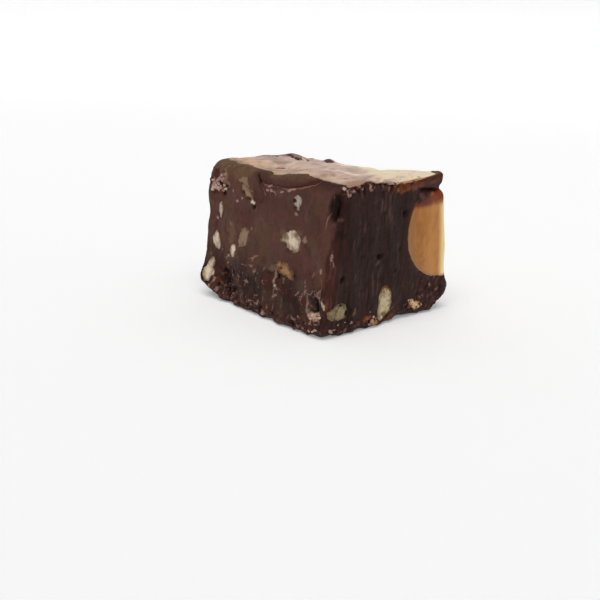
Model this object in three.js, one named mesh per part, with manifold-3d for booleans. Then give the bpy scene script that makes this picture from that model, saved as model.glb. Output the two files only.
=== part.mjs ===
// A knife-cut square of turtle fudge: dark chocolate fudge with a pool of soft caramel in one
// corner, a thin marbled caramel skin over the top, and chopped pecans that the cuts slice through.
// Millimetres, +Z up, origin in the middle of the face that it rests on.
// The long smeared cut faces -X. The clean dark cut that shows the end of the caramel faces -Y.
import * as THREE from "three";
import { mergeVertices } from "three/addons/utils/BufferGeometryUtils.js";
import Module from "manifold-3d";

const wasm = await Module();
wasm.setup();

const { abs, atan2, cos, exp, floor, hypot, max, min, PI, sign, sin, sqrt } = Math;

// Driving dimensions of the square
const HEIGHT = 31; // base to the mean level of the top
const DEPTH = 41.2; // along Y
const WIDTH = 34.5; // along X, at half height
const SLANT = { left: 3.7, right: 4.3 }; // how much further out a side cut runs at the base than at the top
const EDGE_RADIUS = 0.9; // the sharpest edge that a knife leaves in fudge
const GAP = 0.3; // left between neighbouring pieces
const NUT_PROUD = 0.3; // how far a cut nut stands out of the fudge

// Skin of caramel over the top
const SKIN = { thick: 1.0, waves: [[0.45, 0.22, 0, 0.2], [-0.22, 0.45, 0, 0.2]] };

// The far corner of the top sinks
const SAG = { drop: 1.6, from: [-6, -18], over: [20, 16] };

// Caramel pool: a rounded tongue lying along Y in the +X, -Y corner
const POOL = {
  centre: [17.2, 17.4], // x and height, at the -Y cut
  radii: [12.5, 9.6],
  squareness: { below: 1.8, above: 3.6 }, // 2 gives an ellipse, more gives blunter corners
  tip: 3.5, // its inner end, along Y
  overrun: 9, // how far it would run on past the -Y cut
  narrowing: 0.25, // its inner end is this share less tall
  roof: 1.0, // least fudge between it and the skin
  bluntness: 0.55, // 1 gives the end of an ellipse, less gives a blunter one
  waves: [[3, 7, 0, 0.08], [5, -5, 1, 0.07]], // round it and inward, as shares of its radii
};

// How finely the surfaces are divided
const BLOCK_CELLS = [16, 20, 15];
const SKIN_CELLS = [16, 19];
const POOL_CELLS = [24, 16];
const LUMP_SIDES = 16;
const CROWDING = 0.5; // how much narrower the cells get towards an edge
const PAST = 1.4; // a cutting shape runs this much past the square

// The four cuts: the axis that each faces along, and its sign
const CUTS = {
  left: { axis: "x", sign: -1 },
  right: { axis: "x", sign: 1 },
  front: { axis: "y", sign: -1 },
  back: { axis: "y", sign: 1 },
};

// Relief of each face in its own two coordinates: x and y on top, y and z or x and z on a cut.
// A wave is [turns per mm one way, the other way, phase, height].
// A mound is [middle, middle, radius, radius, height], and a hollow has a negative height.
const RELIEF = {
  top: {
    waves: [[0.21, 0.13, 0.6, 0.38], [0.19, -0.33, 1.9, 0.27], [0.52, 0.41, 0, 0.17]],
    mounds: [
      [15.5, -20.2, 4.5, 2.8, 0.8], // the lip over the pool
      [7, 18.4, 4, 2.2, 1.8], // a lump on the far edge
      [9.4, 8.8, 2.0, 1.5, 1.1], // a small lump
      [-5.5, 20, 5, 7, -0.6],
      [15, 1, 7, 5, 0.45],
      [16, -11.5, 6, 5, -0.75],
      [-8, 4, 4, 3, -0.4],
      [-3.9, -9.6, 3, 2.4, -0.4],
    ],
  },
  left: {
    waves: [[0.55, 0.4, 0, 0.18], [-0.3, 0.9, 0, 0.14]],
    mounds: [
      [19, 27, 8, 4.5, 1.1],
      [19, 10, 8, 5.5, -0.65], // hollow towards the far edge
      [11.2, 4.2, 3.4, 2.6, -1.6], // a piece broken out of the foot
      [19, 4, 5, 3.5, 1.2],
      [-13.6, 25, 1.2, 5, 0.5], // ridge of smeared fudge beside the near edge
    ],
  },
  front: {
    waves: [[1.1, 0.1, 0, 0.1], [0.3, 0.35, 2, 0.12]],
    mounds: [
      [11.5, 28.4, 4, 0.9, -0.5], // crease under the lip, lower and deeper towards the corner
      [16.5, 27.4, 3, 0.9, -0.9],
      [14, 30.2, 4.5, 1.4, 0.4],
      [-15.6, 24, 1.7, 5, -1.1], // scoop beside the near edge
      [1, 2, 3, 1.4, -0.5],
    ],
  },
  right: {
    waves: [[0.34, 0.5, 1.2, 0.2], [1.2, 0, 0, 0.1]],
    mounds: [
      [-20, 27.3, 5, 0.9, -0.9], // the crease runs on round the corner
      [-19, 15, 8, 14, 0.45],
      [-19, 4.6, 8, 4, 1.6], // the foot bulges under the pool
    ],
  },
  back: {
    waves: [[0.4, -0.31, 0, 0.22], [0.9, 0, 0.5, 0.14]],
    mounds: [[7, 3.4, 3.4, 3, -0.7]],
  },
};

// Places where the edge is softer: [x, y, z, reach along x, y and z, added radius]
const SOFT_EDGES = [
  [-17, -4, 31, 7, 12, 7, 2.0], // pressed over by the knife
  [-17, 20, 31, 5, 5, 5, 0.7], // a rubbed corner
  [-17, -20, 19, 5, 6, 26, 1.2], // the near upright edge, chipped
  [18, -20, 0, 6, 6, 6, 0.8], // the broken foot under the pool
];
const CRUMBLE = { upTo: 8, add: 0.7, waves: [[0.8, 0.9, 0, 0.45], [1.7, -1.3, 0, 0.3]] };

// Where crumbs have broken off under the edge of the base: [x, y, reach, reach, height]
const CHIPS = [
  [-19, 21, 10, 10, 2.4],
  [-19, -21, 6, 6, 0.4],
  [5.6, -21.5, 5, 4, 2.3],
  [20.5, -21.5, 7, 7, 2.2],
  [19, 21, 7, 7, 0.9],
  [20, 2, 5, 8, 0.7],
  [-3, 21, 9, 5, 0.8],
];
const CHIP_UP_TO = 9;
const SEAT = 0.25; // what stands off the ground by less than this is pressed flat by the weight above

// Chocolate lumps that break through the skin: [middle x, y, radius, radius, turn in degrees]
const LUMPS = [
  [16.6, -20.4, 3.4, 2.7, 0], // the dark lip over the pool
  [7, 18.6, 5.2, 2.3, -6],
  [9.4, 8.8, 2.2, 1.5, 40],
];

// Chopped pecans on each cut: [name, along the cut, height, length, rise, depth, turn in degrees]
const NUTS = {
  left: [
    ["top", 17.1, 26.8, 6.8, 5.6, 3.6, 18],
    ["upper_sliver", 15.9, 20.4, 2.4, 4.6, 2.6, 5],
    ["long", 16.6, 13.7, 3.8, 6.2, 3.2, -4],
    ["corner", 17.7, 5.7, 4.0, 8.2, 4.4, -6],
    ["small", 10.3, 12.1, 3.2, 3.2, 2.6, 10],
    ["streak", 7.1, 15.9, 4.0, 5.4, 2.6, -24],
    ["smear", 6.9, 25.7, 6.4, 2.6, 2.4, -36],
    ["sliver", -8.9, 25.7, 3.4, 3.8, 2.4, 12],
    ["centre", -8.6, 18.4, 8.0, 4.8, 3.6, -12],
    ["amber", -7.8, 11.8, 6.8, 3.8, 3.0, -12],
    ["foot", -17.4, 4.8, 4.6, 3.0, 3.2, 8],
  ],
  front: [
    ["tall", -1.1, 4.8, 5.0, 9.0, 3.8, -5],
    ["wide", -13.7, 5.3, 7.0, 4.4, 3.6, -8],
    ["foot", 8.3, 2.5, 5.0, 3.0, 3.0, -6],
  ],
  right: [
    ["upper", 12.4, 22.0, 5.4, 6.8, 3.6, 30],
    ["middle", 8.6, 11.6, 6.8, 4.6, 3.4, -18],
    ["low", -8.4, 3.2, 6.0, 3.8, 3.2, 12],
    ["far", 17.0, 6.0, 4.0, 5.8, 3.4, 20],
  ],
  back: [
    ["centre", 3.2, 16.4, 7.2, 5.2, 3.6, 22],
    ["upper", -9.6, 22.6, 4.6, 6.2, 3.2, -30],
    ["high", 10.8, 24.2, 3.8, 4.6, 2.8, 14],
    ["low", -4.4, 7.4, 6.4, 5.0, 3.4, 8],
    ["foot", 13.4, 5.6, 4.4, 5.6, 3.2, -16],
    ["edge", -15.4, 11.6, 3.4, 5.4, 3.0, 6],
  ],
};
const NUT_INSET = 0.22; // share of a nut's depth by which its middle lies behind the cut
const BREAKS = { count: 9, nearest: 0.62, spread: 0.34 }; // flat breaks, and how near its middle they pass

const radians = (degrees) => (degrees * PI) / 180;

// 0 below 0, 1 above 1, and a smooth step between
const smooth = (v) => {
  const c = min(1, max(0, v));
  return c * c * (3 - 2 * c);
};

// A repeatable number from 0 to 1 for each n: the far decimals of a sine
const SCATTER = { step: 12.9898, scale: 43758.5453 };
const scatter = (n) => {
  const v = sin(n * SCATTER.step) * SCATTER.scale;
  return v - floor(v);
};

const total = (list, value) => list.reduce((sum, item) => sum + value(item), 0);

function waveSum(waves, u, v) {
  return total(waves, ([a, b, phase, height]) => height * sin(a * u + b * v + phase));
}

function relief(face, u, v) {
  const { waves, mounds } = RELIEF[face];
  const rise = ([mu, mv, ru, rv, height]) => height * exp(-(((u - mu) / ru) ** 2) - ((v - mv) / rv) ** 2);
  return waveSum(waves, u, v) + total(mounds, rise);
}

// Level of the top over its mean
function topLevel(x, y) {
  const sag = smooth((x - SAG.from[0]) / SAG.over[0]) * smooth((y - SAG.from[1]) / SAG.over[1]);
  return relief("top", x, y) - SAG.drop * sag;
}

function edgeRadius(x, y, z) {
  const soft = total(SOFT_EDGES, ([sx, sy, sz, rx, ry, rz, add]) => {
    return add * exp(-(((x - sx) / rx) ** 2) - ((y - sy) / ry) ** 2 - ((z - sz) / rz) ** 2);
  });
  const crumbled = smooth(1 - z / CRUMBLE.upTo) * (CRUMBLE.add + waveSum(CRUMBLE.waves, x, y));
  return EDGE_RADIUS + soft + crumbled;
}

// How far the side cuts lean out at a height, at the share of the half width that x is
function lean(x, z) {
  const slant = x < 0 ? -SLANT.left : SLANT.right;
  return slant * (abs(x) / (WIDTH / 2)) * (0.5 - z / HEIGHT);
}

// How far the underside is chipped up at a point, nothing away from the edge of the base
function chipped(x, y, z) {
  const up = ([cx, cy, rx, ry, height]) => height * smooth(1 - hypot((x - cx) / rx, (y - cy) / ry));
  return total(CHIPS, up) * smooth(1 - z / CHIP_UP_TO);
}

// The point of the cut square's surface for a point of a plain box, moved out by extra.
// The edges are rounded by a ball rolled round a smaller box, and the base stays flat.
function surfacePoint(box, extra) {
  const half = [WIDTH / 2, DEPTH / 2, HEIGHT / 2];
  const radius = edgeRadius(box.x, box.y, box.z);
  const at = [box.x, box.y, box.z - half[2]];
  const core = at.map((v, i) => min(half[i] - radius, max(radius - half[i], v)));
  const away = at.map((v, i) => v - core[i]);
  const out = away.map((v) => v / hypot(...away));
  const [px, y, pz] = core.map((v, i) => v + radius * out[i]);
  const z = pz + half[2];
  const x = px + lean(px, z);
  const facing = (v) => max(0, v) ** 2;
  const push =
    extra +
    facing(-out[0]) * relief("left", y, z) +
    facing(out[0]) * relief("right", y, z) +
    facing(-out[1]) * relief("front", x, z) +
    facing(out[1]) * relief("back", x, z);
  const level = topLevel(x, y) * smooth((2 * z) / HEIGHT - 1) + chipped(x, y, z);
  const lift = max(0, out[2]) * extra;
  const height = z + level + lift;
  return new THREE.Vector3(x + out[0] * push, y + out[1] * push, height < SEAT ? 0 : height);
}

// Moves v, from 0 to size, so that the cells narrow towards both ends
const crowd = (v, size) => v - (CROWDING * size * sin((2 * PI * v) / size)) / (2 * PI);

// A three.js shape as a closed mesh with shared corners, each corner moved by place
function reshape(geometry, place) {
  const loose = geometry.index ? geometry.toNonIndexed() : geometry;
  loose.deleteAttribute("normal");
  loose.deleteAttribute("uv");
  const shape = mergeVertices(loose, 1e-4);
  const position = shape.getAttribute("position");
  for (let i = 0; i < position.count; i++) {
    const moved = place(new THREE.Vector3().fromBufferAttribute(position, i));
    position.setXYZ(i, moved.x, moved.y, moved.z);
  }
  return shape;
}

function solidOf(geometry) {
  const vertProperties = new Float32Array(geometry.getAttribute("position").array);
  const triVerts = new Uint32Array(geometry.index.array);
  return new wasm.Manifold(new wasm.Mesh({ numProp: 3, vertProperties, triVerts }));
}

function geometryOf(solid) {
  const { vertProperties, triVerts } = solid.getMesh();
  const geometry = new THREE.BufferGeometry();
  geometry.setAttribute("position", new THREE.BufferAttribute(vertProperties, 3));
  geometry.setIndex(new THREE.BufferAttribute(triVerts, 1));
  return geometry;
}

// The whole square as cut, moved out by extra all round except at the base
function blockSolid(extra) {
  const box = new THREE.BoxGeometry(WIDTH, DEPTH, HEIGHT, ...BLOCK_CELLS);
  const place = (p) => {
    const x = crowd(p.x + WIDTH / 2, WIDTH) - WIDTH / 2;
    const y = crowd(p.y + DEPTH / 2, DEPTH) - DEPTH / 2;
    const z = crowd(p.z + HEIGHT / 2, HEIGHT);
    return surfacePoint({ x, y, z }, extra);
  };
  return solidOf(reshape(box, place));
}

// All the room above the underside of the skin, with that underside lowered by drop
function roomAboveSkin(drop) {
  const box = new THREE.BoxGeometry(PAST * WIDTH, PAST * DEPTH, 1, ...SKIN_CELLS, 1);
  const place = ({ x, y, z }) => {
    const underside = HEIGHT + topLevel(x, y) - SKIN.thick - waveSum(SKIN.waves, x, y) - drop;
    return new THREE.Vector3(x, y, z > 0 ? PAST * HEIGHT : underside);
  };
  return solidOf(reshape(box, place));
}

// An upright oval post through the skin where a lump breaks through, grown by grow
function lumpSolid([x, y, long, wide, turn], grow) {
  const post = new THREE.CylinderGeometry(1, 1, HEIGHT / 2, LUMP_SIDES);
  post.rotateX(PI / 2);
  post.scale(long + grow, wide + grow, 1);
  post.rotateZ(radians(turn));
  post.translate(x, y, HEIGHT);
  return solidOf(reshape(post, (p) => p));
}

// The whole tongue of caramel under its roof, before the cuts, grown by grow
function poolSolid(grow) {
  const near = -DEPTH / 2 - POOL.overrun;
  const middle = (near + POOL.tip) / 2;
  const half = (POOL.tip - near) / 2;
  const place = (p) => {
    const y = middle + p.y * (half + grow);
    const inward = smooth((y + DEPTH / 2) / (POOL.tip + DEPTH / 2));
    const angle = atan2(p.z, p.x);
    const power = 2 / (p.z > 0 ? POOL.squareness.above : POOL.squareness.below);
    const squared = (v) => sign(v) * abs(v) ** power;
    const full = hypot(p.x, p.z) ** POOL.bluntness;
    const uneven = 1 + inward * waveSum(POOL.waves, angle, inward); // even at the -Y cut
    const wide = (POOL.radii[0] + grow) * full * uneven;
    const tall = (POOL.radii[1] * (1 - POOL.narrowing * inward) + grow) * full * uneven;
    const x = POOL.centre[0] + wide * squared(cos(angle));
    const z = POOL.centre[1] + tall * squared(sin(angle));
    return new THREE.Vector3(x, y, z);
  };
  const tongue = solidOf(reshape(new THREE.SphereGeometry(1, ...POOL_CELLS), place));
  return tongue.subtract(roomAboveSkin(POOL.roof + GAP - grow));
}

// How far a chopped nut reaches in a direction: a ball of radius 1 cut by a few flat breaks
function nutReach(direction, seed) {
  const golden = PI * (3 - sqrt(5));
  let reach = 1;
  for (let i = 0; i < BREAKS.count; i++) {
    const z = 1 - (2 * i + 1) / BREAKS.count;
    const turn = i * golden + seed;
    const ring = sqrt(1 - z * z);
    const facing = direction.dot(new THREE.Vector3(ring * cos(turn), ring * sin(turn), z));
    const away = BREAKS.nearest + BREAKS.spread * scatter(BREAKS.count * seed + i);
    if (facing > 0) reach = min(reach, away / facing);
  }
  return reach;
}

// The point of a cut at a place along it and a height, moved in behind it by inset
function cutPoint({ axis, sign }, along, height, inset) {
  if (axis === "y") return new THREE.Vector3(along, sign * (DEPTH / 2 - inset), height);
  const edge = (sign * WIDTH) / 2;
  return new THREE.Vector3(edge + lean(edge, height) - sign * inset, along, height);
}

function nutSolid(cut, [, along, height, length, rise, depth, turn], seed, grow) {
  const long = length / 2 + grow;
  const tall = rise / 2 + grow;
  const deep = depth / 2 + grow;
  const facesX = CUTS[cut].axis === "x";
  const centre = cutPoint(CUTS[cut], along, height, NUT_INSET * depth);
  const place = (p) => {
    const reach = nutReach(p, seed);
    const inward = p.y * deep * reach;
    const flat = new THREE.Vector2(p.x * long * reach, p.z * tall * reach);
    flat.rotateAround(new THREE.Vector2(), radians(turn));
    return centre.clone().add(
      facesX ? new THREE.Vector3(inward, -flat.x, flat.y) : new THREE.Vector3(flat.x, inward, flat.y),
    );
  };
  return solidOf(reshape(new THREE.IcosahedronGeometry(1, 1), place));
}

function material(color, roughness) {
  return new THREE.MeshStandardMaterial({ color, roughness, metalness: 0 });
}

const CHOCOLATE = material(0x4a2f29, 0.5);
const SOFT_CARAMEL = material(0xb87c45, 0.4);
const SKIN_CARAMEL = material(0xb4917a, 0.3);
const PECAN = material(0xc0a888, 0.7);

function piece(name, solid, finish) {
  const mesh = new THREE.Mesh(geometryOf(solid), finish);
  mesh.name = name;
  return mesh;
}

const without = (solid, others) => others.reduce((left, other) => left.subtract(other), solid);

function buildFudge() {
  const nuts = Object.entries(NUTS).flatMap(([cut, list]) => list.map((nut) => ({ cut, nut })));
  const nutAt = (i, grow) => nutSolid(nuts[i].cut, nuts[i].nut, i + 1, grow);

  const block = blockSolid(0);
  const proudBlock = blockSolid(NUT_PROUD);
  const skinRoom = without(roomAboveSkin(GAP), LUMPS.map((lump) => lumpSolid(lump, 0)));
  const skin = without(block.intersect(roomAboveSkin(0)), LUMPS.map((lump) => lumpSolid(lump, GAP)));
  const pool = block.intersect(poolSolid(0));
  const fudge = without(block, [skinRoom, poolSolid(GAP), ...nuts.map((_, i) => nutAt(i, GAP))]);

  const group = new THREE.Group();
  group.add(piece("fudge", fudge, CHOCOLATE));
  group.add(piece("caramel_pool", pool, SOFT_CARAMEL));
  group.add(piece("caramel_skin", skin, SKIN_CARAMEL));
  nuts.forEach(({ cut, nut }, i) => {
    group.add(piece(`pecan_${cut}_${nut[0]}`, nutAt(i, 0).intersect(proudBlock), PECAN));
  });
  return group;
}

export default buildFudge();
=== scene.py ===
"""Turtle fudge, one knife-cut square: the looks.

Dark chocolate fudge with two clean cuts and two smeared ones, a pool of soft caramel in one
corner, a thin marbled caramel skin over the top, and chopped pecans where the cuts slice through.
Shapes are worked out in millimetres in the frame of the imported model, +Z up with the origin in the
middle of the base, and become metres when a mesh is made.
"""

import logging
import math
from abc import ABC, abstractmethod
from dataclasses import dataclass
from enum import Enum
from functools import lru_cache
from itertools import combinations

import bpy
import numpy as np
from mathutils import Matrix, Vector


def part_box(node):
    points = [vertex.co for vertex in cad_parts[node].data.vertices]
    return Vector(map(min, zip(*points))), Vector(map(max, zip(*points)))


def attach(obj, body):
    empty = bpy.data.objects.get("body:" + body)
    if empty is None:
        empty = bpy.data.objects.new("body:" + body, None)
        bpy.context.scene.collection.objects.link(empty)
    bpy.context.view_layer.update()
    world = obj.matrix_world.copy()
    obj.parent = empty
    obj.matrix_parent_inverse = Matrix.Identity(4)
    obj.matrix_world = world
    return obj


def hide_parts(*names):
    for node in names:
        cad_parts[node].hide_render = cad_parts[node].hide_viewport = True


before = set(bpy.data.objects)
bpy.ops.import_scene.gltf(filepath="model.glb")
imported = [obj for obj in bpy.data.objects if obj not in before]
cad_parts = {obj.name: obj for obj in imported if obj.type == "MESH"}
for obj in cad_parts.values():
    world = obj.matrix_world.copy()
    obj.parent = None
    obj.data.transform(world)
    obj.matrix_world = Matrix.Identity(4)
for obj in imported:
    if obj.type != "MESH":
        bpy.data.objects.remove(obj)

logging.basicConfig(level=logging.INFO, format="%(message)s")
LOG = logging.getLogger("turtle_fudge")

Array = np.ndarray
Numbers = tuple[float, ...]
Socket = bpy.types.NodeSocket

MM = 0.001


def srgb(red: float, green: float, blue: float) -> Numbers:
    """A display colour of 0 to 255 as linear red, green, blue and an alpha of 1."""
    shown = np.array([red, green, blue]) / 255
    linear = np.where(shown <= 0.04045, shown / 12.92, ((shown + 0.055) / 1.055) ** 2.4)
    return (*linear.tolist(), 1.0)


class Slot(Enum):
    """The record's material slots."""

    CHOCOLATE = "chocolate_fudge"
    SOFT_CARAMEL = "soft_caramel"
    SKIN = "caramel_skin"
    PECAN = "pecan"


class Cut(Enum):
    """The four side cuts, each with the axis that it faces along and the sign."""

    LEFT = (0, -1)
    RIGHT = (0, 1)
    FRONT = (1, -1)
    BACK = (1, 1)


SMEARED_CUTS = (Cut.LEFT, Cut.BACK)
CLEAN_CUTS = (Cut.FRONT, Cut.RIGHT)


class Tint(Enum):
    """What lies on or shows through the chocolate, with the painted shade and highlights laid with it, from
    the first laid on to the last.
    """

    OLIVE = srgb(106, 80, 58)
    # Red-brown broken fudge, also used for the painted shadow under the pressed edge and in the scoop
    RED = srgb(70, 32, 25)
    LINE = srgb(84, 57, 52)
    ORANGE = srgb(148, 78, 34)
    VEIL = srgb(138, 113, 90)
    TAN = srgb(164, 110, 66)
    # Pinkish flecks and wisps; on crumb crests and raised bits it is also a painted highlight
    PINK = srgb(162, 126, 114)
    CREAM = srgb(208, 184, 162)
    # Painted shade: near black in pits, nicks, cracks between crumbs, the crease and the scoop
    PIT_SHADE = srgb(16, 8, 7)

    @property
    def is_soft(self) -> bool:
        """Whether it fades out at its border, and isn't broken into crumbs and flecks there."""
        return self not in (Tint.VEIL, Tint.TAN, Tint.PINK, Tint.CREAM)


def smooth(value: Array) -> Array:
    """0 below 0, 1 above 1, and c * c * (3 - 2 c) between."""
    c = np.clip(value, 0.0, 1.0)
    return c * c * (3 - 2 * c)


def ramp(value: Array, start: float, end: float) -> Array:
    """0 at start, 1 at end and smooth() of the way between, whichever of the two is larger."""
    return smooth((value - start) / (end - start))


def band(value: Array, middle: Array | float, reach: float) -> Array:
    """exp of minus the squared distance from the middle, counted in reaches."""
    return np.exp(-(((value - middle) / reach) ** 2))


def bell(points: Array, middle: Numbers, reach: Numbers) -> Array:
    """exp of minus the squared distance from the middle, counted in reaches along each axis."""
    away = (points - np.array(middle)) / np.array(reach)
    return np.exp(-np.sum(away * away, axis=-1))


def wave_sum(waves: tuple[Numbers, ...], u: Array, v: Array) -> Array:
    """Sum of height * sin(a u + b v + phase) over waves of (a, b, phase, height)."""
    return sum(height * np.sin(a * u + b * v + phase) for a, b, phase, height in waves)


@lru_cache(maxsize=64)
def lattice(seed: int, cells: int, parts: int) -> Array:
    """Random numbers from 0 to 1 at each corner of a cube of cells, parts numbers at each."""
    return np.random.default_rng(seed).random((cells, cells, cells, parts))


@dataclass(frozen=True)
class Grain:
    """Repeatable unevenness in space, the same each time for the same seed."""

    seed: int
    cells: int = 32

    def at(self, points: Array, step: float, stretch: Numbers = (1, 1, 1)) -> Array:
        """Smooth noise: the eight corner values round a point, blended by c * c * (3 - 2 c).

        Args:
            points: places in millimetres, with three numbers in the last axis.
            step: size of a cell in millimetres.
            stretch: how many times longer the cells are along each axis.
        Returns:
            A value from -1 to 1 for each point.
        """
        place = points / (step * np.array(stretch, float))
        low = np.floor(place).astype(int)
        share = smooth(place - low)
        table = lattice(self.seed, self.cells, 1)[..., 0]
        total = np.zeros(points.shape[:-1])
        for corner in np.ndindex(2, 2, 2):
            weight = np.prod(np.where(np.array(corner) == 1, share, 1 - share), axis=-1)
            i, j, k = np.moveaxis((low + corner) % self.cells, -1, 0)
            total += weight * table[i, j, k]
        return 2 * total - 1

    def layers(self, points: Array, step: float, count: int = 2, stretch: Numbers = (1, 1, 1)) -> Array:
        """Sum of count layers of at(), each with half the step and half the height of the last."""
        rough = [Grain(self.seed + n).at(points, step / 2**n, stretch) / 2**n for n in range(count)]
        return sum(rough)

    def wisps(self, points: Array, step: float, thin: float, stretch: Numbers = (1, 1, 1)) -> Array:
        """Thin curved lines: 1 where the noise is near 0, down to 0 where it is thin away from it."""
        return smooth((thin - np.abs(self.at(points, step, stretch))) / (0.8 * thin))

    def crumb(self, points: Array, step: float) -> Array:
        """Crumbly relief: 1 minus the distance to the nearest of the scattered seeds, one a cell.

        Args:
            points: places in millimetres.
            step: size of a crumb in millimetres.
        Returns:
            1 in the middle of a crumb, down to about 0 in the cracks between.
        """
        place = points / step
        low = np.floor(place).astype(int)
        seeds = lattice(self.seed, self.cells, 3)
        nearest = np.full(points.shape[:-1], 4.0)
        for shift in np.ndindex(3, 3, 3):
            cell = low + np.array(shift) - 1
            i, j, k = np.moveaxis(cell % self.cells, -1, 0)
            away = cell + seeds[i, j, k] - place
            nearest = np.minimum(nearest, np.sum(away * away, axis=-1))
        return 1 - np.clip(np.sqrt(nearest), 0, 1)


@dataclass(frozen=True)
class Pattern:
    """Noise with a purpose: its seed, the size of its patches, its layers and its stretch.

    As a share it is 0 where the noise is at low and 1 where it is at high.
    """

    seed: int
    step: float
    count: int = 2
    stretch: Numbers = (1, 1, 1)
    low: float = 0
    high: float = 1

    def at(self, points: Array) -> Array:
        """The noise at each point."""
        return Grain(self.seed).layers(points, self.step, self.count, self.stretch)

    def share(self, points: Array) -> Array:
        """Where the noise is high, from 0 to 1."""
        return ramp(self.at(points), self.low, self.high)


# Broad patches that the film on the smeared cuts and the pressed edge share
PATCHES = Pattern(41, 5, 3)
# The value of crumb() that lies level with the surface
CRUMB_LEVEL = 0.75


@dataclass(frozen=True)
class Relief:
    """Low relief of one face in its own two coordinates.

    A wave is (a, b, phase, height) and a mound is (middle u, middle v, reach u, reach v, height).
    """

    waves: tuple[Numbers, ...]
    mounds: tuple[Numbers, ...]

    def at(self, u: Array, v: Array) -> Array:
        """The waves, plus height * exp(-du^2 - dv^2) for each mound, du and dv in its reaches."""
        rise = wave_sum(self.waves, u, v)
        for mu, mv, ru, rv, height in self.mounds:
            rise = rise + height * band(u, mu, ru) * band(v, mv, rv)
        return rise


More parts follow.
